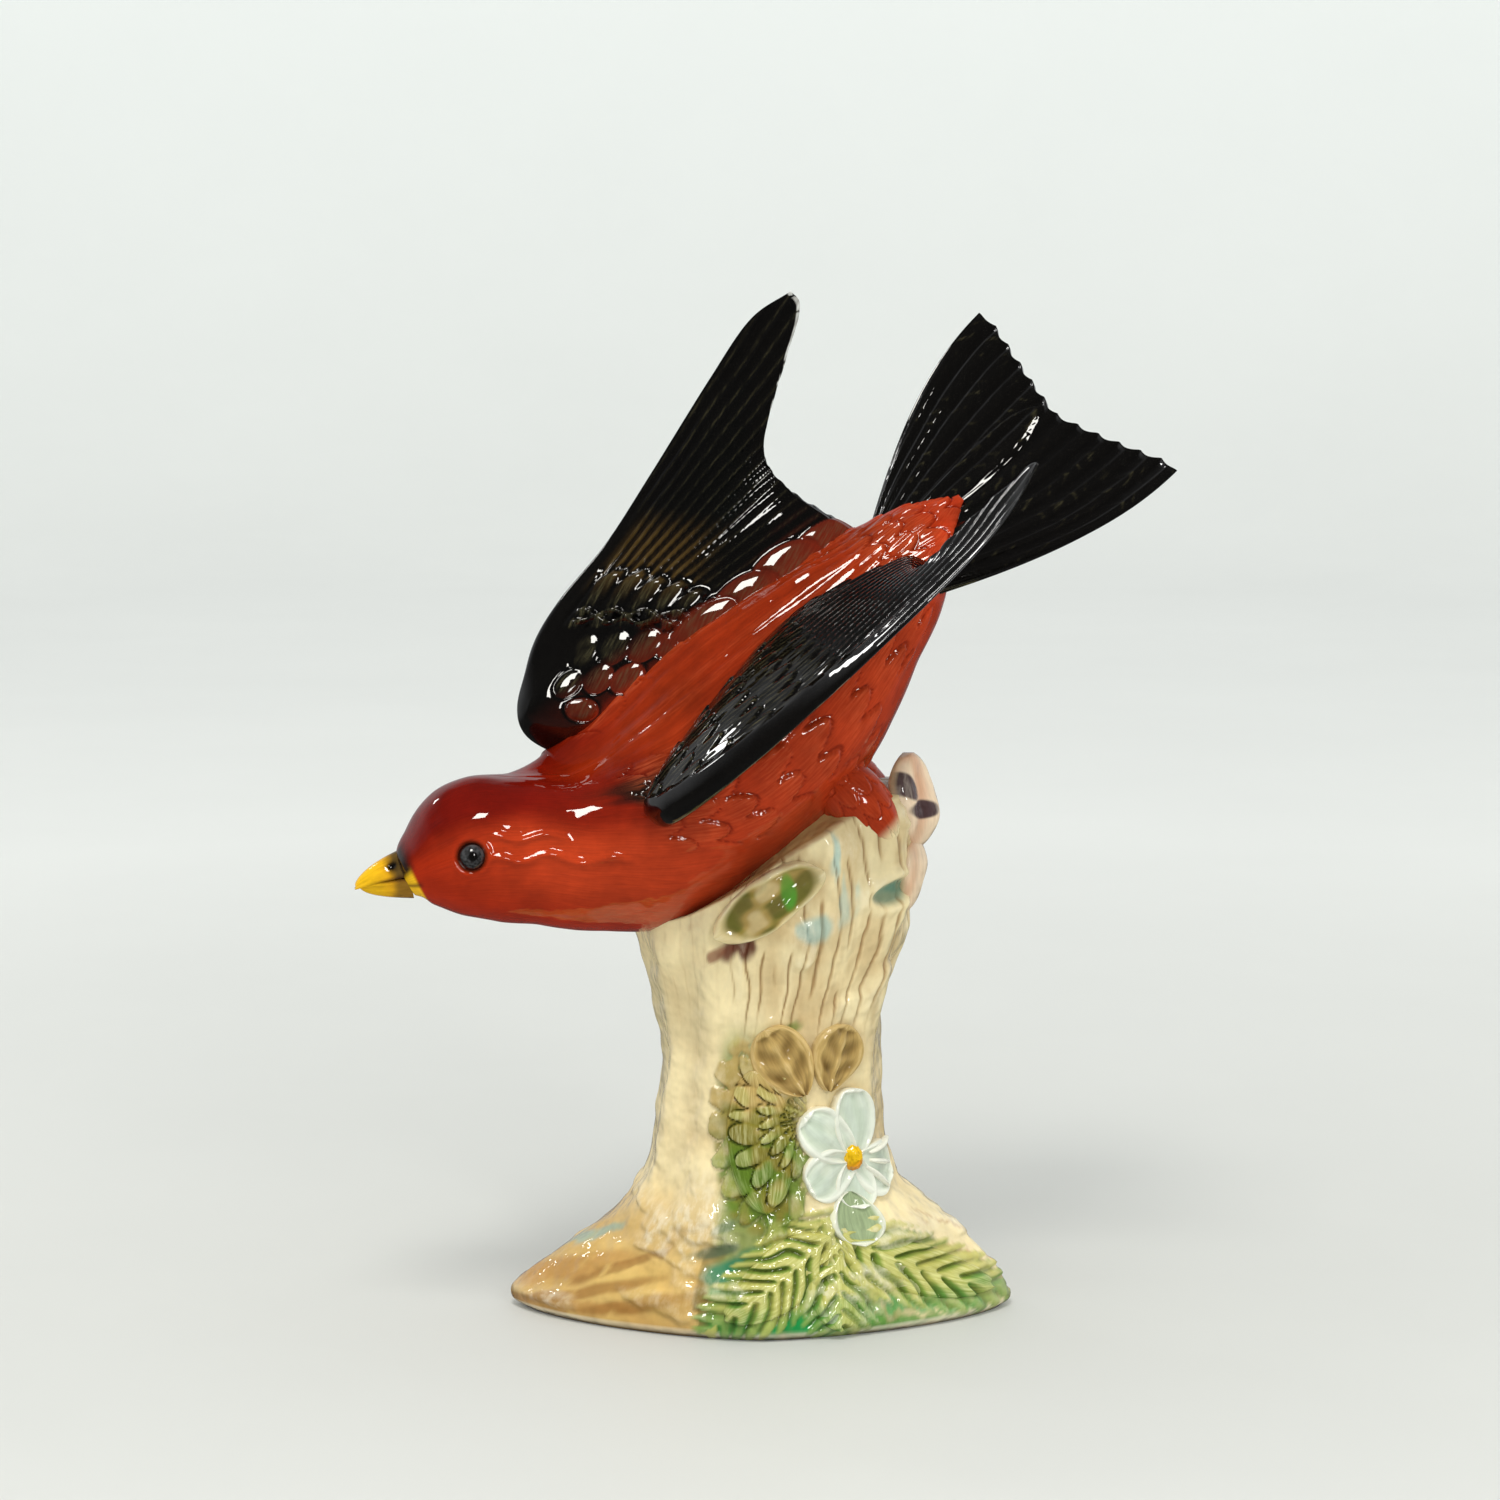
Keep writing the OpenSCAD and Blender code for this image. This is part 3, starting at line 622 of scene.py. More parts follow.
def trunk_relief(s, rise, near, local, uneven):
    """Height in mm and relief of the head, neck, body and rump. rise is -90 at the belly and
    90 at the back, and near is true on the camera's side."""
    back_mm = -local[..., 0]
    girth_mm = rise * GIRTH_STEP
    # swellings that carry the wings' shoulders
    near_swell = 0.9 * bell(back_mm - 1.5, 6.5) * bell(rise - 42, 20)
    far_swell = 4.0 * bell(back_mm + 2.5, 7.5) * bell(rise - 47, 24)
    height = np.where(near, near_swell, far_swell) + 0.18 * uneven
    # fillet where the far wing joins the back
    height += ~near * 1.5 * bell(rise - 62 - 0.25 * back_mm, 13) * window(back_mm, -3, 46, 12)

    # feathers on the flanks, small in front and long behind
    reach = np.where(back_mm > 20, 20 + (back_mm - 20) * 0.7, back_mm)
    scales = shingles(reach + 1.2 * uneven, girth_mm + 0.5 * uneven, 5.6, 4.3, 3.2, 1)
    scale_h, scale_step, across, _ = scales
    flank = window(rise + 0.25 * back_mm, 6, 70, 16) * window(back_mm, 2, 52, 9)
    height += flank * (0.95 * scale_h - 0.20 * scale_step)
    height += flank * 0.03 * barbs(girth_mm * 3, across, 1.6, 0)

    # short tufts on the thigh
    tuft_h, tuft_step, _, _ = shingles(back_mm * 0.8 + girth_mm * 0.3, girth_mm, 4.2, 2.6, 2.4, 7)
    thigh = bell(back_mm - 31, 7) * bell(rise + 20, 17)
    height += thigh * (0.55 * tuft_h - 0.2 * tuft_step)

    # folds along the back, from the neck to the rump
    folds = bell(rise - 66 - 2 * uneven, 4) + 0.8 * bell(rise - 76 + 1.5 * uneven, 3.2) + bell(rise - 86, 4)
    back = window(back_mm, 6, 62, 10)
    height += back * (0.32 * folds - 0.10)

    # coverts at the end of the rump
    rump_h, rump_step, rump_v, _ = shingles(back_mm + 0.5 * uneven, local[..., 1] + 0.7, 4.2, 3.4, 2.4, 4)
    rump = window(back_mm, 51, 75, 8) * window(rise, 10, 100, 22)
    height += rump * (0.5 * rump_h - 0.2 * rump_step + 0.05 * barbs(local[..., 1], rump_v, 0.9, 0.4))

    # eye sockets: a rim, and a groove inside it
    for eye_side in (1, -1):
        away = np.linalg.norm(local - eye_middle(eye_side), axis=-1)
        height += 0.28 * bell(away - EYE_D * 0.66, 0.5) - 0.45 * bell(away - EYE_D * 0.5, 0.42)

    # two wavy creases behind the eye
    for level, start, end in ((-3, 3.0, 5.3), (13, 3.15, 4.3)):
        line = rise - level - 2.2 * np.sin(6.5 * s)
        height += 0.55 * near * bell(line, 2.6) * window(s, start, end, 0.5)

    # brow and cheek
    height += 0.5 * bell(s - 2.6, 0.9) * bell(rise - 30, 12) - 0.3 * bell(s - 2.2, 0.8) * bell(rise - 17, 7)

    relief = flank * (scale_h - 1.3 * scale_step) + 0.5 * back * (folds - 0.5)
    relief += rump * (rump_h - 1.2 * rump_step) + thigh * (tuft_h - tuft_step)
    return height, held(1.8 * relief) * clamp01(flank + back + rump + thigh)


def trunk_paint(s, rise, near, back_mm, local, uneven):
    """Scarlet, darker on the crown and back, with the mouth's corner, lore and eye rims."""
    paint = coat(SCARLET, s)
    paint = blend(paint, FLANK_RED, window(rise, -40, 40, 40) * window(back_mm, -20, 60, 20))
    spine = window(rise, 48, 100, 22) * window(back_mm, -2, 62, 12)
    paint = blend(paint, RUST, spine * (0.75 + 0.25 * uneven))
    crown = ease((rise + 12 * uneven - 4) / 34) * ease((5.6 - s) / 1.8)
    paint = blend(paint, CRIMSON, 0.92 * crown)
    paint = blend(paint, CRIMSON, 0.7 * window(s, 4.2, 6.4, 1.2) * window(rise, 20, 80, 30))
    for eye_side in (1, -1):
        away = np.linalg.norm(local - eye_middle(eye_side), axis=-1)
        paint = blend(paint, UMBER, 0.9 * bell(away - EYE_D * 0.5, 0.35))
    # yellow corner of the mouth, and the dark lore above it
    gape = ease((0.86 - s) / 0.2) * ease((26 - rise) / 14)
    paint = blend(paint, BILL_YELLOW, gape)
    lore = ease((1.15 - s + 0.12 * uneven) / 0.5) * window(rise, 12, 72, 16)
    paint = blend(paint, SOOT, 0.95 * lore)
    paint = blend(paint, UMBER, 0.7 * bell(rise + 14, 5) * ease((1.1 - s) / 0.3))
    # black brushed over the root of the near wing, and painted shade in brown under that wing
    brushed = noise(xyz(back_mm * 0.35, rise * GIRTH_STEP, 0), 1.3, 9)
    dusk = near * bell(s - 6.0 + 0.01 * (rise - 46), 0.75) * bell(rise - 46, 13)
    paint = blend(paint, SOOT, 1.1 * dusk * ease((dusk - 0.35 + 0.35 * brushed) / 0.35))
    # painted shade: brown on the body along the near wing's edge, where the wing shades it
    shade_under_near_wing = bell(rise - 52 - 0.2 * back_mm, 7) * window(back_mm, -2, 50, 10) * near
    return blend(paint, UMBER, 0.55 * shade_under_near_wing)


def trunk_piece():
    """Head, neck, body and rump in one skin."""
    s, a = around(0, len(TRUNK) - 1, TRUNK_RINGS, TRUNK_SIDES)
    smooth = trunk_points(s, a)
    rise = np.degrees(np.arcsin(sin_d(a)))
    near = cos_d(a) > 0
    back_mm = -smooth[..., 0]
    uneven = layered_noise(smooth, 9, 3)
    height, relief = trunk_relief(s, rise, near, smooth, uneven)
    local = raised(smooth, height)
    paint = trunk_paint(s, rise, near, back_mm, local, uneven)
    grain = xyz(back_mm, rise * GIRTH_STEP * 1.3, np.where(near, 1.0, -1.0))
    add_piece("body", to_world(local), (paint, relief, grain), "scarlet_glaze", ["trunk"])


# ---------- wings ----------


def lobe(x, y, centre_x, centre_y, half_len, half_w, lean):
    """How far inside an oval feather tip a place lies: 1 at its middle, 0 at its outline."""
    u = ((x - centre_x) * cos_d(lean) + (y - centre_y) * sin_d(lean)) / half_len
    v = ((y - centre_y) * cos_d(lean) - (x - centre_x) * sin_d(lean)) / half_w
    return 1 - np.sqrt(u * u + np.abs(v) ** 2.2)


def lay_lobes(x, y, height, relief, lobes, tall):
    """Lays rounded feathers over a height, later ones under earlier ones. Gives the new
    height and relief, and the mask of all the lobes."""
    mask = np.zeros_like(x)
    for centre_x, centre_y, half_len, half_w, lean in lobes:
        inside = lobe(x, y, centre_x, centre_y, half_len, half_w, lean)
        free = 1 - mask
        body = ease(inside / 0.10 + 0.5)
        dome = (1 - (1 - clamp01(inside * 1.3)) ** 2) * tall
        gap = bell(inside + 0.08, 0.10) * (1 - body)
        height = mix(height, 0.15 + dome, body * free) - 0.12 * tall * gap * free
        relief = mix(relief, 0.75 * clamp01(2.2 * inside) - 0.1, body * free) - 1.2 * tall * gap * free
        mask = np.maximum(mask, body)
    return height, relief, mask


# Rounded feathers of a wing's shoulder: out and across in mm, half length, half width, lean
SHOULDER_LOBES = [
    (8.1, 1.6, 2.3, 1.7, 60), (10.6, -1.9, 2.6, 1.7, 10), (13.2, 1.5, 2.6, 1.9, 15),
    (15.2, 5.2, 2.9, 1.9, 26), (15.9, -2.3, 3.1, 1.9, 0), (18.4, 1.4, 3.1, 2.1, 10),
    (20.7, 5.2, 3.2, 2.1, 20), (23.0, 8.8, 3.2, 2.0, 30),
]
# Long oval feathers beside the body
SIDE_LOBES = [
    (28.0, 11.4, 5.6, 2.4, 30), (34.2, 14.9, 5.4, 2.9, 30), (40.8, 18.0, 5.8, 3.0, 30),
    (47.4, 21.6, 5.4, 2.6, 32),
]
# Where the flight feathers fan out from, in the wing's plane
FAN_X, FAN_Y = -9, -11
FAN_START, FAN_STEP = 3.0, 1.62
# How finely the wings and the tail are divided: along them, and across each face
WING_ROWS, WING_HALF = 262, 180
TAIL_ROWS, TAIL_HALF_TURN = 236, 200
UNDER_GRAIN = 40.0                       # moves the brush strokes of an underside away from the top's


def wing_relief(x, y, q):
    """Height in mm, relief, and masks of smooth skin and side lobes on a wing's top face."""
    wobble = layered_noise(xyz(x, y, 0), 9, 11)
    angle = np.degrees(np.arctan2(y - FAN_Y, x - FAN_X))
    lane = (angle - FAN_START + 0.3 * wobble) / FAN_STEP
    rib, _ = ribs(lane, 1.0)
    second, _ = ribs(lane * 2 + 0.4, 1.0)
    spread = ease((angle - 16) / 10)
    height = (0.30 * rib + 0.10 * second) * (1 - 0.95 * spread)
    relief = 1.3 * rib + 0.5 * second - 1.25 + 0.2 * wobble

    # greater coverts: slanted, 3 mm apart, over the roots of the flight feathers
    top_edge = 29.8 + 0.33 * y - 0.010 * y * y
    count = (y - 0.18 * (x - 25)) / 2.9
    k = np.floor(count)
    v = 2 * (count - k) - 1
    edge = top_edge - 1.3 * np.abs(v - 0.25) ** 2 + 0.7 * noise(xyz(k, 0, 0), 0.61, 5)
    inside = ease((edge - x) / 1.6 + 0.5) * ease((13.5 - y) / 2)
    plume = 0.42 * (1 - v * v) + 0.35 * ease((x - 20) / 8)
    height = mix(height, 0.35 + plume, inside)
    fibre = np.sin(2 * np.pi * (v * 1.6 + 0.25 * x))
    relief = mix(relief, 0.8 - 2.1 * np.abs(v) ** 1.5 + 0.35 * fibre, inside)
    relief -= 1.3 * bell(x - edge - 0.7, 0.6) * (1 - inside) * (y < 12)

    # two wavy cords between the coverts and the shoulder's lobes
    for offset in (0, 1.3):
        line = x - (21.9 + 0.47 * y + offset + 0.40 * np.sin(1.5 * y + 2.5 * offset))
        cord = bell(line, 0.42) * window(y, -5.5, 9.5, 1.5)
        height += 0.75 * cord - 0.3 * bell(line - 0.75, 0.35) * window(y, -5.5, 9.5, 1.5)
        relief += 1.4 * cord - 0.5 * bell(line - 0.75, 0.35)

    # skin of the shoulder, under its lobes
    skin = ease((21.2 + 0.47 * y - x) / 1.6)
    height = mix(height, 0.55, skin)
    relief = mix(relief, -0.55, skin)
    height, relief, _ = lay_lobes(x, y, height, relief, SHOULDER_LOBES, 0.42)
    height, relief, side = lay_lobes(x, y, height, relief, SIDE_LOBES, 0.5)

    # bulb of the shoulder and the thick leading edge stay smooth
    edge_band = ease((0.10 - q) / 0.05) * ease((46 - x) / 16)
    bulb = ease((-3.6 - y + 0.25 * (x - 8)) / 1.6) * ease((19 - x) / 6)
    smooth = clamp01(edge_band + bulb + ease((5.2 - x) / 2))
    height = mix(height, 0.5, smooth) + 2.6 * bell(x - 5.0, 5.5) * bell(y + 3.6, 4.2)
    relief = mix(relief, 0.0, smooth)
    return height, held(relief), smooth, side


def near_wing_relief(x, y, q):
    """Height in mm and relief of the near wing's top face, whose coverts are long, narrow and
    finely lined, behind a thick smooth edge."""
    wobble = layered_noise(xyz(x, y, 0), 9, 13)
    angle = np.degrees(np.arctan2(y - FAN_Y, x - FAN_X))
    lane = (angle - FAN_START + 0.4 * wobble) / FAN_STEP
    rib, _ = ribs(lane, 1.0)
    height = 0.34 * rib
    relief = 1.2 * rib - 1.0
    rise, step, v, own = shingles(x + 0.6 * wobble + 0.3 * y, y - 0.30 * x, 6.4, 2.9, 3.6, 17)
    fibre = np.sin(2 * np.pi * (1.5 * v + 0.12 * x + own))
    over = ease((46 - x - 0.2 * y) / 16)
    height = mix(height, 0.48 * rise, over)
    relief = mix(relief, 1.0 * rise - 1.2 * step + 0.75 * fibre - 0.3, over)
    smooth = ease((0.17 - q) / 0.07) * ease((62 - x) / 22)
    smooth = clamp01(smooth + ease((5.5 - x) / 2.5))
    height = mix(height, 0.5, smooth)
    relief = mix(relief, 0.0, smooth)
    return height, held(relief)


def far_wing_paint(x, y, q, uneven, relief, smooth, side):
    """Black with gold behind the coverts, and red on the shoulder and beside the body."""
    paint = coat(BLACK, x)
    from_body = y - 0.40 * x + 1.5 * uneven            # grows toward the body
    gold = window(x - 0.33 * y, 28, 38, 7) * ease((11 - y + 2 * uneven) / 8) * ease((q - 0.05) / 0.06)
    paint = blend(paint, WING_GOLD, 0.6 * gold * ease(relief + 0.9))
    shoulder_red = ease((from_body + 6.5) / 5) * ease((24 + 0.5 * y - x) / 3)
    paint = blend(paint, WING_RED, 0.85 * shoulder_red * (1 - smooth) * ease(relief + 0.9))
    paint = blend(paint, SCARLET, 0.8 * ease((from_body + 0.5) / 3) * (1 - 0.6 * ease(-relief)))
    paint = blend(paint, WING_RED, 0.7 * side)
    tint = ease((q - 0.62) / 0.3) * ease((52 - x) / 8)
    return blend(paint, WING_RED, 0.7 * tint * ease(relief + 0.6))


def white_tip_edge(x, q, t, a, local):
    """Where the far wing's tip edge turns white, in broken patches."""
    rim = bell(np.abs(sin_d(a)), 0.22) * (q > 0.5)
    in_patches = (x > 60) * (noise(local, 1.0, 8) > -0.1)
    return np.maximum(rim, t > 0.992) * in_patches


def half_turns(count):
    """Angles around a thin plate, the same number over its top as underneath."""
    return np.arange(2 * count) * 180 / count


def wing_piece(name, pose, mirrored, node):
    """A wing, worked out as a left one. The far wing is mirrored and has more colours."""
    t, a = np.meshgrid(np.linspace(0, 1, WING_ROWS), half_turns(WING_HALF), indexing="ij")
    q = (1 - cos_d(a)) / 2
    top = sin_d(a) > 0
    # the leading edge is blunt near the shoulder
    blunt = mix(1.0, mix(0.72, 1.0, ease(q / 0.35)), ease((0.75 - t) / 0.3))
    # the end at the shoulder is rounded
    cap = np.sqrt(mix(1.0, 0.01, (1 - clamp01(t / 0.12)) ** 2))
    q = 0.2 + (q - 0.2) * cap
    local = wing_points(pose, q, t, cap * np.sign(sin_d(a)) * np.abs(sin_d(a)) ** blunt)
    place = wing_place(q, t)
    x, y = place[..., 0], place[..., 1]
    if mirrored:
        height, relief, smooth, side = wing_relief(x, y, q)
    else:
        height, relief = near_wing_relief(x, y, q)
    under_rib, _ = ribs(q * 15, 1.0)
    # relief fades to nothing at the rims so that the outline stays true
    rim = ease(np.abs(sin_d(a)) / 0.3)
    height = np.where(top, height - 0.45, 0.3 * under_rib * ease((t - 0.2) / 0.3)) * rim
    relief = np.where(top, relief, 1.4 * under_rib - 0.7) * rim

    paint = coat(BLACK, t)
    if mirrored:
        uneven = layered_noise(local, 7, 14)
        top_paint = far_wing_paint(x, y, q, uneven, relief, smooth, side)
        paint = np.where(top[..., None], top_paint, BLACK)
        # white in broken patches along the far wing's tip edge
        paint = blend(paint, TIP_WHITE, 0.85 * white_tip_edge(x, q, t, a, local))

    grain = xyz(x, y, np.where(top, 0.0, UNDER_GRAIN))
    if mirrored:
        local = local * np.array([1, -1, 1])
    points = raised(to_world(local), height)
    add_piece(name, points, (paint, relief, grain), "black_glaze", [node], strip_ends)


# ---------- tail ----------


def tail_relief(p, t):
    """Height in mm and relief of the tail's top face."""
    place = xyz(p * 22, t * 34, 0)
    wobble = layered_noise(place, 7, 21)
    lane = np.abs(p + 0.02 * wobble + 0.08) * TAIL_FEATHERS / 2
    rib, rib_v = ribs(lane + 0.5, 1.0)
    shaft = bell(rib_v, 0.14)
    height = 0.20 * rib + 0.08 * shaft
    # barbs: short broken lines that slant away from each shaft
    barb = np.sin(2 * np.pi * (t * 13 + 0.9 * np.abs(rib_v) + 1.2 * wobble))
    broken = ease(noise(place * np.array([1, 0.6, 1]), 2.2, 24) + 0.35)
    barb = np.maximum(0, barb) ** 2 * broken
    height += 0.04 * barb * (1 - shaft)
    relief = 0.9 * rib - 0.95 + 0.4 * shaft + 0.75 * barb
    # the middle feather lies over its neighbours and ends short of the tips
    only = lobe(t * 34, p * 22 + 3.0, 15, 0, 17.5, 3.4, 0)
    body = ease(only / 0.06 + 0.5)
    gap = bell(only + 0.06, 0.05)
    height = mix(height, height + 0.35, body) - 0.12 * gap
    relief = relief - 1.0 * gap + 0.9 * bell(only - 0.03, 0.035) * ease((t - 0.6) / 0.2)
    return height, held(relief)


def tail_piece():
    """The fanned tail, with plain ribs underneath."""
    t, a = np.meshgrid(np.linspace(0, 1, TAIL_ROWS), half_turns(TAIL_HALF_TURN), indexing="ij")
    p = cos_d(a)
    top = sin_d(a) > 0
    local = tail_points(p, t, sin_d(a))
    height, relief = tail_relief(p, t)
    rim = ease(np.abs(sin_d(a)) / 0.25) * ease((1.0 - t) / 0.03 + 0.25)
    under_rib, _ = ribs(p * TAIL_FEATHERS / 2, 1.0)
    height = np.where(top, height - 0.3, 0.3 * under_rib) * rim
    relief = np.where(top, relief, 1.4 * under_rib - 0.7) * rim
    place = tail_place(p, t)
    grain = xyz(place[..., 0], place[..., 1], np.where(top, 0.0, UNDER_GRAIN))
    points = raised(to_world(local), height)
    layers = (coat(BLACK, t), relief, grain)
    add_piece("tail_fan", points, layers, "black_glaze", ["tail"], strip_ends)


# ---------- bill and eyes ----------

BILL_ROOT = np.array([29, -7.8, 1.6])
BILL_DIR = unit(np.array([0.84, -0.36, 0.28]))
HEAD_TILT = np.array([0, -math.sin(math.radians(38)), math.cos(math.radians(38))])
HEAD_LEFT = unit(np.cross(HEAD_TILT, BILL_DIR))
HEAD_UP = np.cross(BILL_DIR, HEAD_LEFT)
BILL_LEN = 8
BILL_HALF_W = 3.1
UPPER_BILL_H = 3.9
LOWER_BILL_H = 3.3
UPPER_BILL_DROOP = 0.8
LOWER_BILL_SHARE = 0.92


def bill_piece(name, up, length, tall, droop, node):
    """Half of the bill: up is 1 for the upper half and -1 for the lower one."""
    t, a = around(0, 0.999, 70, 96)
    taper = (1.02 - t) ** 0.44
    middle = BILL_ROOT + BILL_DIR * (length * t)[..., None] - HEAD_UP * (droop * t * t)[..., None]
    rise = np.where(sin_d(a) > 0, tall, 0.1) * taper * sin_d(a)
    local = middle + HEAD_LEFT * (BILL_HALF_W * taper * cos_d(a))[..., None]
    local = local + HEAD_UP * (up * (rise + 0.12))[..., None]
    # nostril: an oval dent on each side of the upper half
    dent = np.zeros_like(t)
    if up > 0:
        dent = bell(t - 0.30, 0.09) * bell(np.abs(cos_d(a)) - 0.80, 0.12) * (sin_d(a) > 0)
    lip = bell(sin_d(a) - 0.14, 0.12)
    height = 0.22 * lip - 0.5 * dent
    world = raised(to_world(local), height)
    uneven = layered_noise(local, 3, 31)
    paint = coat(BILL_YELLOW, t)
    paint = blend(paint, BILL_AMBER, 0.7 * ease((0.75 - t) / 0.6))
    dusk = ease((0.40 - t + 0.10 * uneven + 0.08 * sin_d(a)) / 0.22)
    paint = blend(paint, BILL_GREY, 0.9 * dusk * (1.0 if up > 0 else 0.75))
    paint = blend(paint, UMBER, 0.8 * bell(sin_d(a), 0.10) * ease((0.75 - t) / 0.3))
    paint = blend(paint, BLACK, clamp01(1.6 * dent))
    grain = xyz(length * t, 3 * cos_d(a), 0)
    add_piece(name, world, (paint, -0.8 * dent, grain), "yellow_glaze", [node])


def eye_piece(name, side, node):
    """A glossy bead: black rim, mottled iris, black pupil."""
    turn, a = around(5, 175, 48, 64)
    middle = to_world(eye_middle(side))
    out = unit(middle - to_world(trunk_frame(np.array(EYE_STATION))[0]))
    level = unit(np.cross(out, np.array([0, 0, 1.0])))
    other = np.cross(out, level)
    ball = out * cos_d(turn)[..., None] + level * (sin_d(turn) * cos_d(a))[..., None]
    ball = EYE_D / 2 * (ball + other * (sin_d(turn) * sin_d(a))[..., None])
    iris = window(turn, 20, 56, 8)
    mottle = noise(xyz(turn / 14, a / 30, 0), 0.6, 3)
    paint = coat(BLACK, turn)
    paint = blend(paint, IRIS_GREY, iris * (0.55 + 0.45 * mottle))
    add_piece(name, middle + ball, (paint, 0 * turn, ball), "eye_glaze", [node])


# ---------- legs ----------

LEG_TOP = np.array([9, 5.6, 82])
LEG_FOOT = np.array([19.4, 6.6, 71.5])
LEG_R = 4.752
LEG_FEATHERS_LONG, LEG_FEATHERS_ROUND = 14, 32    # mm along the thigh and round it


def leg_piece(name, side, node):
    """The feathered thigh between belly and stump. side is -1 for the near leg."""
    t, a = around(0, 1, 110, 120)
    run = LEG_FOOT - LEG_TOP
    level = np.cross(unit(run), np.array([0, 1.0, 0]))
    r = LEG_R * np.maximum(0.15, np.sqrt(sin_d(180 * np.minimum(1, 0.12 + 0.86 * t))))
    points = LEG_TOP + run * t[..., None] + np.array([0, 1.0, 0]) * (r * cos_d(a))[..., None]
    points = points + level * (r * sin_d(a))[..., None]
    down, round_mm = t * LEG_FEATHERS_LONG, a / 360 * LEG_FEATHERS_ROUND
    rise, step, _, _ = shingles(down, round_mm, 3.4, 3.2, 2.0, 5)
    points = raised(points, (0.25 * rise - 0.1 * step) * window(t, 0.05, 0.95, 0.1))
    points = points * np.array([1, side, 1])
    paint = coat(FLANK_RED, t)
    paint = blend(paint, STUMP_CREAM, ease((t - 0.80) / 0.15))
    grain = xyz(t * 14, a / 360 * 32, 0)
    relief = clamp01(0.5 + 0.5 * (rise - 1.2 * step) - 0.1) * 2 - 1
    add_piece(name, points, (paint, relief, grain), "scarlet_glaze", [node])


# ---------- stump ----------

# Outline of the stump by height: the height, the reach to the left, right, front and back,
# and the power of its rounded outline (2 is an ellipse, less is more pointed)
STUMP = [
    [0, 36.2, 37.0, 20.6, 21.0, 1.5],
    [1.5, 36.9, 37.5, 21.0, 21.4, 1.5],
    [3.7, 35.8, 36.3, 20.4, 20.6, 1.5],
    [7.4, 31.2, 33.8, 18.6, 19.0, 1.55],
    [12.5, 24.0, 28.4, 16.8, 17.4, 1.65],
    [19.9, 17.6, 20.6, 15.2, 15.6, 1.8],
    [30.0, 15.4, 18.8, 14.2, 14.6, 2],
    [39.0, 14.2, 18.2, 13.8, 14.0, 2],
    [46.3, 15.0, 17.9, 14.0, 14.0, 2],
    [52.2, 16.5, 19.6, 14.6, 14.6, 2],
    [57.0, 17.6, 21.3, 15.0, 15.0, 2],
    [64.0, 18.0, 22.8, 15.0, 15.4, 2],
    [71.0, 17.0, 23.4, 14.6, 15.4, 2],
    [80.0, 14.0, 22.0, 13.0, 14.0, 2],
]
STUMP_SIDES = 380
STUMP_WALL = 3
BARK_DEPTH = 0.45
MIDDLE_R = 15                            # mm, where noise over the bark and the leaves is read
SEAM_AZ = -60                            # places round the stump are counted from here


def stump_reach(az, z):
    """Distance from the stump's axis to its skin."""
    row = at_value(STUMP, z)
    side = np.where(cos_d(az) < 0, row[..., 1], row[..., 2])
    depth = np.where(sin_d(az) < 0, row[..., 3], row[..., 4])
    power = row[..., 5]
    bulge = (np.abs(cos_d(az)) / side) ** power + (np.abs(sin_d(az)) / depth) ** power
    return bulge ** (-1 / power)


def bark(az, z):
    """The casting's own shallow bark."""
    return BARK_DEPTH * sin_d(11 * az + 50 * sin_d(5 * z)) * ease((z - 4) / 16)


def round_point(r, az, z):
    return xyz(r * cos_d(az), r * sin_d(az), z)


def stump_skin_point(az, z, out=0.0):
    return round_point(stump_reach(az, z) + bark(az, z) + out, az, z)


def rim_z(az):
    """Height of the stump's slanting top edge."""
    return 69 + 10 * cos_d(az - 10)


def turn_from(az, centre):
    """Degrees from centre, between -180 and 180."""
    return (az - centre + 180) % 360 - 180


def level_mm(az, centre, r):
    """Distance round the stump from centre, at distance r from its axis."""
    return turn_from(az, centre) * math.pi / 180 * r


def reach_at(az, z):
    """Distance from the stump's axis to its skin at one place."""
    return float(stump_reach(np.array(float(az)), np.array(float(z))))


SPOT_R = 15.5                            # mm, where the width of painted spots is measured


def spot(az, z, centre_az, centre_z, half_w, half_h, lean=0.0, soft=0.35):
    """A soft oval of paint on the stump: half sizes in mm, leaning by lean degrees."""
    across = level_mm(az, centre_az, SPOT_R)
    rise = z - centre_z
    u = (across * cos_d(lean) + rise * sin_d(lean)) / half_w
    v = (rise * cos_d(lean) - across * sin_d(lean)) / half_h
    return ease((1 - np.sqrt(u * u + v * v)) / soft + 0.5)


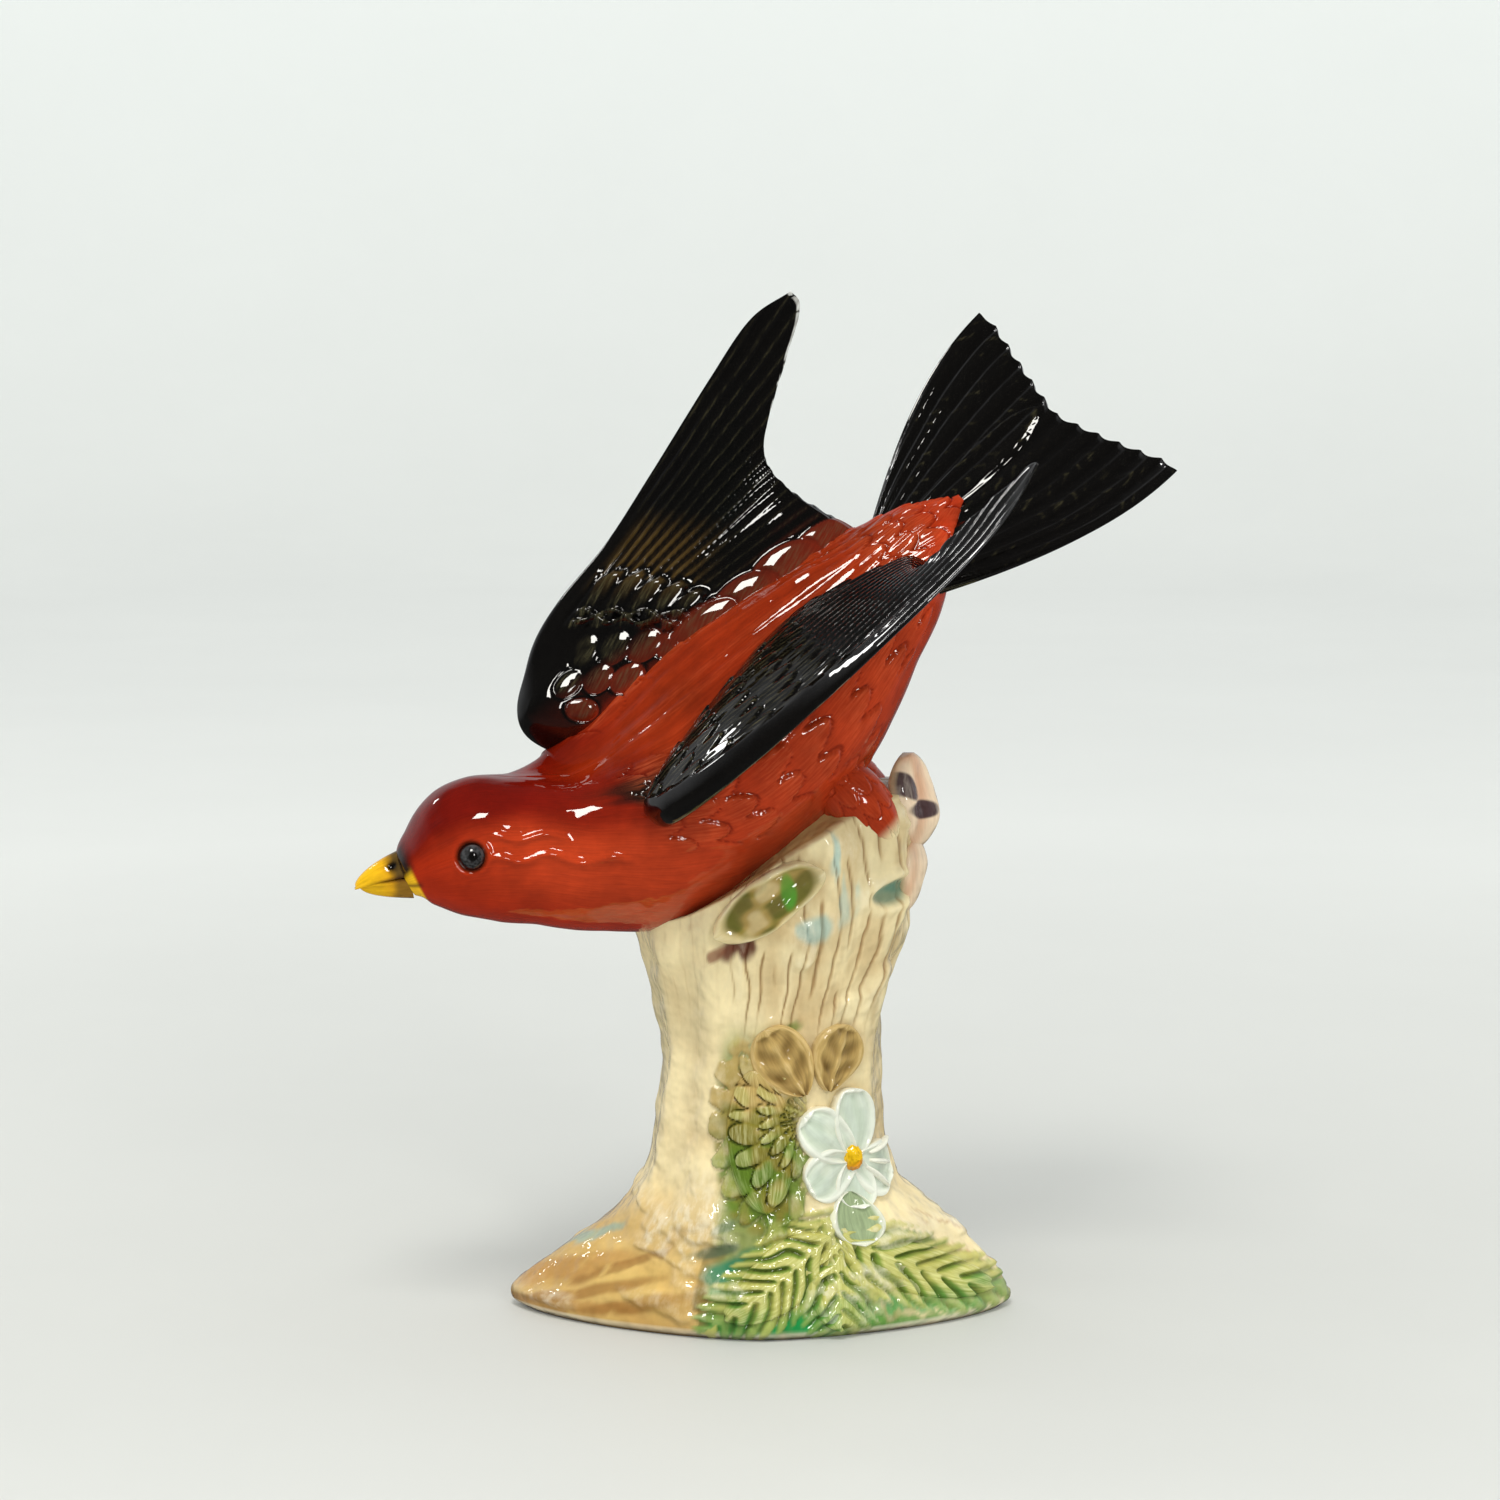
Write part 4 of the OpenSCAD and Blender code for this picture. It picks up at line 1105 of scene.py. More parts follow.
def stump_height(az, z):
    """Height in mm added to the casting's own bark, and where its grooves are, from 0 to 1."""
    arc = turn_from(az, SEAM_AZ) * GIRTH_STEP
    flow = xyz(arc * 0.25, z, 0)
    wavy = arc + 2.2 * noise(flow, 13, 41) + 0.5 * noise(flow, 4, 45)
    lane = wavy / 2.1 + 0.25 * noise(xyz(wavy, z * 0.5, 0), 2.4, 42)
    from_line = np.abs(lane - np.round(lane))
    broken = noise(xyz(np.round(lane) * 3, z * 0.4, 5), 2.6, 47)
    groove = ease(1 - from_line / 0.13) * ease((broken + 0.35) / 0.4)
    right = ease(turn_from(az, -112) / 14)
    bark_zone = ease((z - 41) / 8) * (0.1 + 0.9 * right)
    skin = round_point(MIDDLE_R, az, z)
    lumps = layered_noise(skin, 9, 43)
    ridge = noise(xyz(wavy, z * 0.3, 9), 3.2, 46)
    knobs = ease((noise(xyz(wavy, z * 0.7, 3), 3.4, 48) - 0.05) / 0.4)
    height = bark_zone * (0.5 * ridge + 0.8 * knobs - 0.34 * groove) + 1.2 * lumps
    # knuckles and hollows of the roots
    foot = ease((28 - z) / 16)
    knuckles = layered_noise(xyz(arc, z * 1.6 + 0.35 * arc, 0), 6, 44)
    height += foot * (0.6 * knuckles + 0.6 * ease((knuckles - 0.1) / 0.35))
    return height, groove * bark_zone


# The knot: an eye-shaped hollow between two lids, right of the breast
KNOT_AZ, KNOT_Z, KNOT_R = -22, 64, 18


def knot(az, z):
    """Lids and hollow of the knot, both from 0 to 1."""
    across = level_mm(az, KNOT_AZ, KNOT_R)
    rise = z - KNOT_Z - 0.12 * across
    ring = np.sqrt((across / 4.6) ** 2 + (rise / 2.6) ** 2)
    return bell(ring - 1, 0.30), ease((0.85 - ring) / 0.4)


# Paint on the stump: colour, azimuth, height, half width and height, lean, strength
DABS = [
    ("A8743C", -172, 7, 7.5, 1.6, 30, 0.55), ("8F5F2C", -160, 4.6, 7, 0.8, 26, 0.65),
    ("8A5A2C", -150, 9.0, 6, 0.7, 36, 0.6), ("A87840", -165, 2.4, 8, 0.9, 10, 0.6),
    ("9A6A34", -140, 4.0, 6, 1.0, 24, 0.55), ("86B0A8", -174, 12.0, 3.4, 0.9, 42, 0.65),
    ("B08A4A", -124, 5.0, 4, 1.2, 20, 0.5), ("B48A50", -132, 14, 3, 1.0, 40, 0.35),
    ("6A5A2A", -113.5, 4.2, 0.8, 4.4, 8, 0.75), ("7A6A38", -112, 10.5, 0.7, 3.0, -10, 0.6),
    ("4F6350", -111, 12.8, 2.6, 0.8, 25, 0.75), ("5F7562", -108, 16.5, 2.2, 0.6, 35, 0.6),
    ("2E8466", -104, 10.0, 2.6, 1.6, 20, 0.8), ("257A5A", -97, 12.0, 2.8, 1.5, 35, 0.65),
    ("3F9A62", -100, 7.0, 3, 1.2, -10, 0.7), ("0F8440", -92, 2.6, 5, 1.6, 0, 0.9),
    ("0F8A45", -78, 1.9, 6, 1.4, 0, 0.85), ("1F9A50", -66, 2.2, 5, 1.2, 4, 0.8),
    ("4F9038", -45, 2.0, 8, 0.9, -6, 0.8), ("2E9A4E", -30, 4.2, 6, 0.9, -22, 0.7),
    ("BFD8D0", -61, 2.8, 1.6, 1.0, 0, 0.9),
    ("B07040", -12, 3.2, 5, 0.5, -12, 0.45), ("A86A3A", -8, 6.0, 5, 0.5, -20, 0.45),
    ("B07A48", -12, 9.0, 4, 0.5, -36, 0.45), ("A0602E", -5, 12.0, 4, 0.5, -44, 0.4),
    ("3B2A40", -13, 24, 0.6, 2.2, 10, 0.85), ("4A3A52", -13.5, 20.4, 0.5, 1.5, -8, 0.6),
    ("5A1410", -101, 57.4, 1.9, 1.7, 20, 0.9), ("7A2A1C", -111, 56.6, 1.6, 0.8, 30, 0.7),
    ("9CC6C4", -52, 70, 0.8, 3.2, -4, 0.7), ("8FC0C0", -60, 60.5, 1.8, 2.0, -15, 0.6),
    ("A8CCC6", -45, 64, 0.9, 3.4, 0, 0.5), ("5B8F7A", KNOT_AZ, KNOT_Z, 2.6, 1.0, 0, 0.85),
    ("6E8A3A", -72, 45.0, 2.2, 1.0, 20, 0.75), ("5F8A34", -86, 31, 2.5, 6, 0, 0.35),
]


def stump_paint(az, z, local, groove):
    """Cream with honey at the left foot, tan bark, a green wash by the leaves, the dabs, and painted shade: a
    dark line along the foot's bottom edge.
    """
    cloud = layered_noise(local, 12, 51)
    fine = layered_noise(local * np.array([1, 1, 0.35]), 2.2, 52)
    paint = coat(STUMP_CREAM, z)
    left = ease(-turn_from(az, -108) / 10) * ease(turn_from(az, -250) / 20)
    honey = ease((24 + 5 * cloud - z) / 16) * left
    paint = blend(paint, HONEY, 0.95 * honey)
    paint = blend(paint, TAN, 0.5 * honey * ease((cloud + 0.2) / 0.5))
    # tan wash over the bark of the upper half, strongest on the right
    wash = ease((z - 34 + 4 * cloud) / 10) * ease(turn_from(az, -100) / 25)
    paint = blend(paint, TAN, 0.40 * wash * ease((fine + 0.5) / 0.8))
    paint = blend(paint, BARK_UMBER, 0.6 * groove)
    # green wash around the leaves
    drift = az + 9 * cloud
    by_ferns = window(turn_from(drift, -76), -34, 44, 12) * ease((17 + 5 * cloud - z) / 6)
    by_leaf = window(turn_from(drift, -86), -23, 20, 10) * window(z, 12, 43, 8)
    green = np.maximum(by_ferns, by_leaf)
    paint = blend(paint, LEAF_OLIVE, 0.65 * green * ease((fine + 0.7) / 0.8))
    paint = blend(paint, FERN_GREEN, 0.55 * green * ease((cloud + 0.3) / 0.6))
    # hand-laid dabs, with brushy edges
    for colour, centre, height, half_w, half_h, lean, strength in DABS:
        shape = spot(az + 9 * fine, z + 1.6 * cloud + 1.1 * fine, centre, height, half_w, half_h, lean, 0.8)
        paint = blend(paint, rgb(colour), strength * shape * ease((fine + 0.9) / 0.6))
    lids, hollow = knot(az, z)
    paint = blend(paint, STUMP_CREAM, 0.9 * lids)
    paint = blend(paint, KNOT_TEAL, 0.8 * hollow)
    paint = blend(paint, RIM_CREAM, 0.6 * window(z, 0.3, 1.3, 0.4))
    # painted shade: a dark umber line along the foot's bottom edge, where it meets the ground
    return blend(paint, UMBER, 0.8 * bell(z - 0.1, 0.35))


# Leaf fronds: azimuth, height, direction, length and width of each, as in the casting
FRONDS = {
    "fern_left": (-57, 14.4, 218, 18, 8),
    "fern_middle": (-54, 13.4, 262, 12.2, 7.5),
    "fern_right": (-50, 14.4, -38, 17, 7.5),
}
FEATHER_LEAF = (-86, 18, 96, 21, 11)


def frond_place(az, z, frond):
    """Where a place on the stump lies in a frond: t along its stem, w across from -1 to 1."""
    start_az, start_z, direction, length, width = frond
    level = level_mm(az, start_az, reach_at(start_az, start_z))
    rise = z - start_z
    t = (level * cos_d(direction) + rise * sin_d(direction)) / length
    w = (rise * cos_d(direction) - level * sin_d(direction)) / (width / 2)
    return t, w


def fern_leaflets(az, z, frond):
    """Long leaflets that sweep forward from both sides of a stem. Gives how raised a place
    is (0 in the gaps to 1) and a value of its own for each leaflet."""
    t, w = frond_place(az, z, frond)
    count = frond[3] / 2.7
    bend = noise(xyz(t * frond[3], w * 4, 0), 4, 71)
    lane = t * count - 1.7 * np.abs(w) ** 1.25 + 0.12 * np.sign(w) + 0.5 * bend
    leaflet = 0.5 + 0.5 * np.cos(2 * math.pi * lane)
    own = noise(xyz(np.floor(lane + 0.5), np.sign(w) * 3, 0), 0.7, 63)
    return clamp01(1.3 * leaflet**0.8 + 0.8 * bell(w, 0.10)), own


def feather_leaflets(az, z):
    """Short ragged leaflets that overlap and fan out to the left from behind the flower."""
    t, w = frond_place(az, z, FEATHER_LEAF)
    hub_t, hub_out = 0.62, 8.5
    left = w * FEATHER_LEAF[4] / 2 + hub_out
    rise = (t - hub_t) * FEATHER_LEAF[3]
    ragged = noise(xyz(left, rise, 0), 2.6, 67)
    reach = np.hypot(left, 0.85 * rise) + 1.1 * ragged
    turn = np.arctan2(rise, left) * 9 + 0.5 * ragged
    leaf_h, step, v, own = shingles(reach, turn, 4.4, 2.5, 3.2, 19)
    return clamp01(1.1 * leaf_h * (1 - 0.5 * v * v) + 0.3 - 0.9 * step), own, t


def fern_paint(body, own, az, z):
    """Cream ridges, partly paint and partly a painted highlight, green and olive slopes, dark gaps, and
    emerald near the ground.
    """
    fine = noise(round_point(MIDDLE_R, az, z), 1.6, 68)
    # green goes on the slopes and leaves the ridges cream, partly a painted highlight
    paint = coat(FERN_CREAM, z)
    paint = blend(paint, FERN_GREEN, 0.75 * ease((own + 0.6 + 0.5 * fine) / 0.9) * ease((1.1 - body) / 0.6))
    paint = blend(paint, EMERALD, 0.6 * ease((7 - z + 2 * fine) / 4) * ease((own + 0.6) / 0.8))
    return blend(paint, FERN_DARK, (0.50 + 0.2 * own) * (1 - ease(body / 0.55)))


def feather_paint(body, own, t, az, z):
    """Tan and olive at the top, greener below, with dark gaps."""
    fine = noise(round_point(MIDDLE_R, az, z), 1.6, 69)
    paint = coat(LEAF_OLIVE, z)
    paint = blend(paint, LEAF_TAN, 0.8 * ease((t - 0.62 + 0.15 * fine) / 0.2))
    paint = blend(paint, FERN_GREEN, 0.7 * ease((0.62 - t + 0.2 * own) / 0.3) * ease((fine + 0.5) / 0.8))
    # cream on the leaflets' tops, partly a painted highlight
    paint = blend(paint, FERN_CREAM, 0.45 * ease((body - 0.85) / 0.15) * ease((own + 0.2) / 0.6))
    gap_colour = mix(FERN_DARK, LEAF_BROWN, ease((t - 0.7) / 0.15)[..., None])
    return blend(paint, gap_colour, 0.85 * (1 - ease(body / 0.65)))


def ground_leaves(az, z, height, paint):
    """The leaflets run on a little way over the stump around the applied fronds."""
    for frond in FRONDS.values():
        t, w = frond_place(az, z, frond)
        body, own = fern_leaflets(az, z, frond)
        near = ease((1.05 + 0.22 * body - np.hypot((t - 0.5) / 0.62, w / 1.25)) / 0.12)
        height = height + near * 0.55 * (body - 0.4)
        paint = blend(paint, fern_paint(body, own, az, z), 0.85 * near)
    body, own, t = feather_leaflets(az, z)
    _, w = frond_place(az, z, FEATHER_LEAF)
    near = ease((0.95 + 0.34 * body - np.hypot((t - 0.52) / 0.60, w / 1.22)) / 0.12)
    height = height + near * 1.0 * (body - 0.4)
    return height, blend(paint, feather_paint(body, own, t, az, z), 0.85 * near)


def stump_outside(az, z):
    """The stump's outer skin, with its paint, relief and grain."""
    height, groove = stump_height(az, z)
    lids, hollow = knot(az, z)
    height += 0.6 * lids - 0.8 * hollow
    surface = round_point(stump_reach(az, z), az, z)
    height, paint = ground_leaves(az, z, height, stump_paint(az, z, surface, groove))
    # the foot's rim rolls in to the ground
    roll = 0.9 * (1 - ease(z / 1.1))
    points = stump_skin_point(az, z, height * ease(z / 3) - roll)
    relief = held(0.8 * height - 1.1 * groove)
    return points, paint, relief, xyz(z, turn_from(az, SEAM_AZ) * GIRTH_STEP, 0)


def stump_piece():
    """One mesh from the hollow's ceiling, down its wall and round the foot, up the outer skin
    and over the top."""
    turns = np.linspace(0, 360, STUMP_SIDES, endpoint=False)
    up = np.concatenate([np.linspace(0, 0.06, 12, endpoint=False), np.linspace(0.06, 1, 190)])
    az, v = np.meshgrid(turns, up)
    outer, outer_paint, outer_relief, outer_grain = stump_outside(az, v * rim_z(az))
    rim = outer[-1]
    top = [
        np.c_[rim[:, :2] * k, mix(69 + 0.5 * rim[:, 0], rim[:, 2], k * k)]
        for k in (0.9, 0.7, 0.35, 0.05)
    ]
    wall_top = 55 + 9 * cos_d(turns)
    inner = [
        round_point(stump_reach(turns, k * wall_top + 0.6 * STUMP_WALL) - STUMP_WALL, turns, k * wall_top)
        for k in np.linspace(1, 0, 24)
    ]
    ceiling = [np.c_[inner[0][:, :2] * k, inner[0][:, 2] * k + (1 - k) * 57] for k in (0.05, 0.35, 0.7)]
    points = np.concatenate([ceiling, inner, outer, top])

    def padded(values, start, end):
        """The outer skin's values with constant ones for the hidden rings around it."""
        shape = values.shape[1:]
        before = np.broadcast_to(start, (len(ceiling) + len(inner), *shape))
        after = np.broadcast_to(end, (len(top), *shape))
        return np.concatenate([before, values, after])

    paint = padded(outer_paint, RIM_CREAM, TAN)
    relief = padded(outer_relief, 0.0, 0.0)
    grain = padded(outer_grain, 0.0, 0.0)
    add_piece("tree_stump", points, (paint, relief, grain), "stump_glaze", ["stump"])


# ---------- applied pieces on the stump ----------

RELIEF_T = 1.3


def plate_grid(az, z, direction, length, width, widest, fullness, rows=90, top_cols=64, under_cols=16):
    """Grid over a leaf-shaped plate: t along it, v across its top from -1 to 1, and the
    place on the stump as azimuth and height."""
    turn = np.concatenate([
        np.linspace(0, 180, top_cols, endpoint=False),
        np.linspace(180, 360, under_cols, endpoint=False),
    ])
    t, a = np.meshgrid(np.linspace(0, 1, rows), turn, indexing="ij")
    bulge = np.maximum(0, sin_d(180 * np.minimum(1, t ** (math.log(0.5) / math.log(widest))))) ** fullness
    half = width / 2 * np.maximum(0.1, bulge)
    side = -half * cos_d(a)
    level = length * t * cos_d(direction) - side * sin_d(direction)
    rise = length * t * sin_d(direction) + side * cos_d(direction)
    turned = level / reach_at(az, z) * 180 / math.pi
    dome = np.sqrt(np.maximum(0, sin_d(a)))
    return t, -cos_d(a), side / (width / 2), az + turned, z + rise, dome, sin_d(a) > 0.001


def plate_piece(name, node, place, shape, slot, style, roundness=1.0, fullness=0.5):
    """A plate as in the casting, with its own relief. Every style takes the same five grids
    and gives the height in parts of the plate's lift, the relief and the paint. roundness
    above 1 slopes the plate's sides, and fullness below 0.5 rounds its ends."""
    az, z, direction, length, width = place
    lift, widest = shape
    t, v, w, az_grid, z_grid, dome, top = plate_grid(az, z, direction, length, width, widest, fullness)
    height, relief, paint = style(t, v, w, az_grid, z_grid)
    out = np.where(top, lift * dome**roundness * height, -1.2)
    points = stump_skin_point(az_grid, z_grid, out)
    paint = np.where(top[..., None], paint, STUMP_CREAM)
    grain = xyz(t * length, v * width / 2, 0)
    add_piece(name, points, (paint, np.where(top, relief, 0.0), grain), slot, [node])


def petal_style(t, v, w, az, z):
    """A dished petal: raised white edge, pale blue-green inside, soft veins."""
    edge = np.maximum(np.abs(v), ease((t - 0.80) / 0.2) * 0.98)
    rim = ease((edge - 0.62) / 0.25)
    vein = np.sin(9 * v + 1.5 * np.sin(5 * t))
    height = 0.62 + 0.38 * rim + 0.05 * vein
    paint = coat(PETAL_BLUE, t)
    shade = noise(xyz(t * 6, v * 3, az * 0.1), 1.4, 61)
    paint = blend(paint, PETAL_GREY, 0.7 * ease((0.75 - edge) / 0.4) * ease(shade + 0.6))
    paint = blend(paint, PETAL_WHITE, 0.6 * rim)
    paint = blend(paint, STUMP_CREAM, 0.55 * ease((np.abs(v) - 0.93) / 0.06))
    return height, 0.8 * rim - 0.3 + 0.2 * vein, paint


def brown_leaf_style(t, v, w, az, z):
    """A cupped leaf: rolled tan edge, brown in the hollow, a few soft veins."""
    edge = np.maximum(np.abs(v), ease((t - 0.78) / 0.22))
    rim = ease((edge - 0.55) / 0.35)
    veins = 0.5 + 0.5 * np.sin(2 * math.pi * (t * 3.2 - 0.9 * np.abs(v)))
    body = clamp01(0.45 * veins + 0.7 * bell(v, 0.14) + rim)
    paint = coat(LEAF_TAN, t)
    fine = noise(xyz(t * 14, v * 8, 0), 2.5, 62)
    paint = blend(paint, LEAF_BROWN, (1 - body) * (0.65 + 0.35 * fine))
    return 0.55 + 0.45 * body, 1.3 * body - 0.7, paint


def round_leaf_style(t, v, w, az, z):
    """A grey-green disc with a raised pale rim."""
    edge = np.maximum(np.abs(v), ease((t - 0.75) / 0.25))
    rim = ease((edge - 0.66) / 0.2)
    paint = coat(LEAF_GREY_GREEN, t)
    paint = blend(paint, PETAL_WHITE, 0.9 * rim)
    return 0.6 + 0.4 * rim, 1.3 * rim - 0.5, paint


def fern_style(frond):
    """The style of an applied fern frond."""
    def style(t, v, w, az, z):
        body, own = fern_leaflets(az, z, frond)
        return 0.25 + 0.75 * body, 1.8 * body - 1.0, fern_paint(body, own, az, z)
    return style


def feather_leaf_style(t, v, w, az, z):
    """The style of the upright feathered leaf."""
    body, own, along_stem = feather_leaflets(az, z)
    return 0.25 + 0.75 * body, 1.8 * body - 1.0, feather_paint(body, own, along_stem, az, z)


def stub_style(t, v, w, az, z):
    """The sawn end of a branch: a raised bark rim around an uneven face."""
    ring = np.sqrt((2 * t - 1) ** 2 + w**2)
    ring = ring + 0.10 * noise(xyz(t * 8, w * 4, 0), 2, 72)
    rim = ease((ring - 0.76) / 0.2)
    rings = np.sin(9 * ring + 5 * noise(xyz(t * 8, v * 3, 0), 1.6, 65))
    paint = coat(STUB_TAN, t)
    mottle = noise(xyz(t * 9, w * 4, 0), 1.7, 73)
    paint = blend(paint, LEAF_OLIVE, 0.7 * ease(rings * 0.6 + 0.2))
    paint = blend(paint, FERN_DARK, 0.7 * ease((mottle + 0.15) / 0.5) * (1 - rim))
    paint = blend(paint, STUMP_CREAM, 0.5 * ease((-0.1 - mottle) / 0.4))
    from_spot = np.hypot((t - 0.70 - 0.10 * w) / 0.07, (w + 0.05) / 0.62)
    paint = blend(paint, LEAF_BRIGHT, 0.7 * ease((1 - from_spot) / 0.6 + 0.5))
    paint = blend(paint, STUMP_CREAM, 0.65 * rim)
    return 0.70 + 0.30 * rim + 0.08 * rings, 0.9 * rim - 0.4 + 0.2 * rings, paint


def blossom_style(t, v, w, az, z):
    """A ruffled peach petal of the blossom."""
    fold = noise(xyz(t * 10, w * 6, 0), 3.2, 70)
    ruffle = np.cos(2 * math.pi * (w * 0.9 + 0.3 * t)) * 0.7 + 0.5 * fold
    height = (0.74 + 0.24 * ruffle) * np.sqrt(np.maximum(0.02, sin_d(180 * np.minimum(1, t))))
    paint = coat(BLOSSOM_PEACH, t)
    paint = blend(paint, BLOSSOM_BLUSH, 0.5 * ease(-ruffle))
    return height, 0.8 * ruffle, paint


def with_drops(style, drops):
    """The same style with dark aubergine drops painted on, each an azimuth, height, size and lean."""
    def painted(t, v, w, az, z):
        height, relief, paint = style(t, v, w, az, z)
        for centre, middle, half_w, half_h, lean in drops:
            paint = blend(paint, AUBERGINE, 0.95 * spot(az, z, centre, middle, half_w, half_h, lean, 0.25))
        return height, relief, paint
    return painted


FLOWER_AZ, FLOWER_Z = -38, 25
PETAL_LEN = 8.6
FLOWER_EYE_R = 1.8
STAMEN_START = 2.1                       # mm from the flower's middle
STAMEN_R = 0.45
# Direction, length and width of each petal, the last two in parts of PETAL_LEN
PETALS = {
    "petal_top": (88, 1.2, 0.80),
    "petal_upper_left": (140, 1.25, 0.92),
    "petal_lower_left": (205, 1.02, 0.94),
    "petal_bottom": (268, 0.85, 0.72),
    "petal_right": (-28, 0.92, 1.0),
}


def flower_pieces():
    """Five petals, the yellow eye and the stamens."""
    for node, (direction, length, width) in PETALS.items():
        place = (FLOWER_AZ, FLOWER_Z, direction, PETAL_LEN * length, PETAL_LEN * width)
        plate_piece(node + "_dish", node, place, (RELIEF_T * 1.15, 0.58), "petal_glaze",
                    petal_style, 0.8, 0.42)
    flower_eye_piece()
    stamen_pieces()


def flower_eye_piece():
    """The yellow eye: a low oval bead, pitted with pollen."""
    turn, a = around(4, 176, 40, 64)
    middle = stump_skin_point(np.array(float(FLOWER_AZ)), np.array(float(FLOWER_Z)), 0.3)
    out = unit(middle * np.array([1, 1, 0]))
    level = np.array([-out[1], out[0], 0])
    pits = noise(xyz(turn / 12, a / 22, 0), 0.7, 66)
    r = FLOWER_EYE_R * (1 + 0.06 * pits)
    points = middle + out * (r * cos_d(turn))[..., None]
    points = points + level * (0.8 * r * sin_d(turn) * cos_d(a))[..., None]
    points = points + np.array([0, 0, 1]) * (1.12 * r * sin_d(turn) * sin_d(a))[..., None]
    paint = coat(EYE_YELLOW, turn)
    paint = blend(paint, EYE_ORANGE, 0.8 * ease((0.3 * pits - sin_d(a)) / 0.8))
    add_piece("flower_centre", points, (paint, pits, points), "yellow_glaze", ["flower_eye"])


def stamen_pieces():
    """Three white threads on the right petal."""
    reach = reach_at(FLOWER_AZ, FLOWER_Z)
    t, a = around(0, 1, 40, 20)
    half = STAMEN_R * np.sqrt(np.maximum(0.03, sin_d(180 * np.minimum(1, 0.06 + 0.9 * t))))
    side = -half * cos_d(a)
    length = PETAL_LEN * 0.62
    for number, direction in enumerate((-44, -16, 14)):
        level = (STAMEN_START + length * t) * cos_d(direction) - side * sin_d(direction)
        rise = (STAMEN_START + length * t) * sin_d(direction) + side * cos_d(direction)
        lift = 1.0 + 0.75 * sin_d(a) * half / STAMEN_R
        points = stump_skin_point(FLOWER_AZ + level / reach * 180 / math.pi, FLOWER_Z + rise, lift)
        layers = (coat(PETAL_WHITE, t), 0 * t, points)
        add_piece(f"stamen_{number + 1}", points, layers, "petal_glaze", ["stamens"])


# ---------- the figurine ----------

trunk_piece()
wing_piece("far_wing", RIGHT_POSE, True, "right_wing")
wing_piece("near_wing", LEFT_POSE, False, "left_wing")
tail_piece()
bill_piece("bill_upper", 1, BILL_LEN, UPPER_BILL_H, UPPER_BILL_DROOP, "upper_bill")
bill_piece("bill_lower", -1, BILL_LEN * LOWER_BILL_SHARE, LOWER_BILL_H, 0, "lower_bill")
eye_piece("eye_far", -1, "right_eye")
eye_piece("eye_near", 1, "left_eye")
leg_piece("thigh_far", 1, "right_leg")
leg_piece("thigh_near", -1, "left_leg")

# A plate's place is its azimuth, height, direction, length and width, and its shape is its
# lift in mm and the part of its length where it is widest.
LEAF_SHAPE = (RELIEF_T, 0.58)
HIGH_DROP = (-14, 79.5, 1.3, 2.6, 20)
LOW_DROP = (-8, 75.5, 2.0, 1.4, -10)
stump_piece()
plate_piece("sawn_stub", "branch_stub", (-112, 58.6, 36, 17, 7.6), (2.4, 0.5), "stump_glaze",
            stub_style, 1.3, 0.36)
flower_pieces()
plate_piece("blossom_top", "blossom_upper", (-3, 69.5, 86, 14, 12), (3.6, 0.5), "blossom_glaze",
            with_drops(blossom_style, [HIGH_DROP, LOW_DROP]), 1.8)
plate_piece("blossom_under", "blossom_lower", (-5, 71, 271, 11, 9), (2.2, 0.4), "blossom_glaze",
            with_drops(blossom_style, [LOW_DROP]), 1.8)
plate_piece("leaf_round", "round_leaf", (FLOWER_AZ - 4, FLOWER_Z - 4.8, 268, 7.6, 7.2),
            (RELIEF_T * 1.4, 0.55), "leaf_glaze", round_leaf_style)
plate_piece("leaf_brown_left", "brown_leaf_left", (FLOWER_AZ - 27, FLOWER_Z + 10, 120, 11.5, 8.8),
            LEAF_SHAPE, "brown_glaze", brown_leaf_style, 1.0, 0.44)
plate_piece("leaf_brown_right", "brown_leaf_right", (FLOWER_AZ - 14, FLOWER_Z + 10.4, 70, 10, 8.2),
            LEAF_SHAPE, "brown_glaze", brown_leaf_style, 1.0, 0.44)
plate_piece("leaf_feathered", "feather_leaf", FEATHER_LEAF, (RELIEF_T, 0.5), "leaf_glaze", feather_leaf_style)
for node, frond in FRONDS.items():
    widest = 0.55 if node == "fern_middle" else 0.5
    plate_piece("frond_" + node, node, frond, (RELIEF_T, widest), "leaf_glaze", fern_style(frond))


# ---------- studio: pale bowl, soft lights, camera ----------

PAPER_GLOW = 0.38


def pale_surface():
    """Pale paper that glows a little away from the figurine, as if lit all round."""
    material = bpy.data.materials.new("pale_paper")
    material.use_nodes = True
    tree = material.node_tree
    shader = tree.nodes["Principled BSDF"]
    place = add_node(tree, "ShaderNodeTexCoord").outputs["Object"]
    parts = add_node(tree, "ShaderNodeSeparateXYZ", {0: place}).outputs
    mottle = noise_value(tree, place, 6, 4)
    patches = remap(tree, mottle, 0.3, 0.7, 0, 1)
    low = mix_colour(tree, patches, opaque(rgb("C4C5C2")), opaque(rgb("C8C9C6")))
    # painted light: the paper is lighter up the wall than on the floor
    tint = mix_colour(tree, remap(tree, parts["Z"], 0.0, 0.5, 0, 1), low, opaque(rgb("E2E6E4")))
    tree.links.new(tint, shader.inputs["Base Color"])
    away = add_node(tree, "ShaderNodeVectorMath", {0: place}, operation="LENGTH").outputs["Value"]
    tree.links.new(remap(tree, away, -0.1, 0.45, 0, PAPER_GLOW), shader.inputs["Emission Strength"])
    shader.inputs["Emission Color"].default_value = (0.73, 0.76, 0.75, 1)
    shader.inputs["Roughness"].default_value = 0.55
    shader.inputs["Specular IOR Level"].default_value = 0.3
    return material


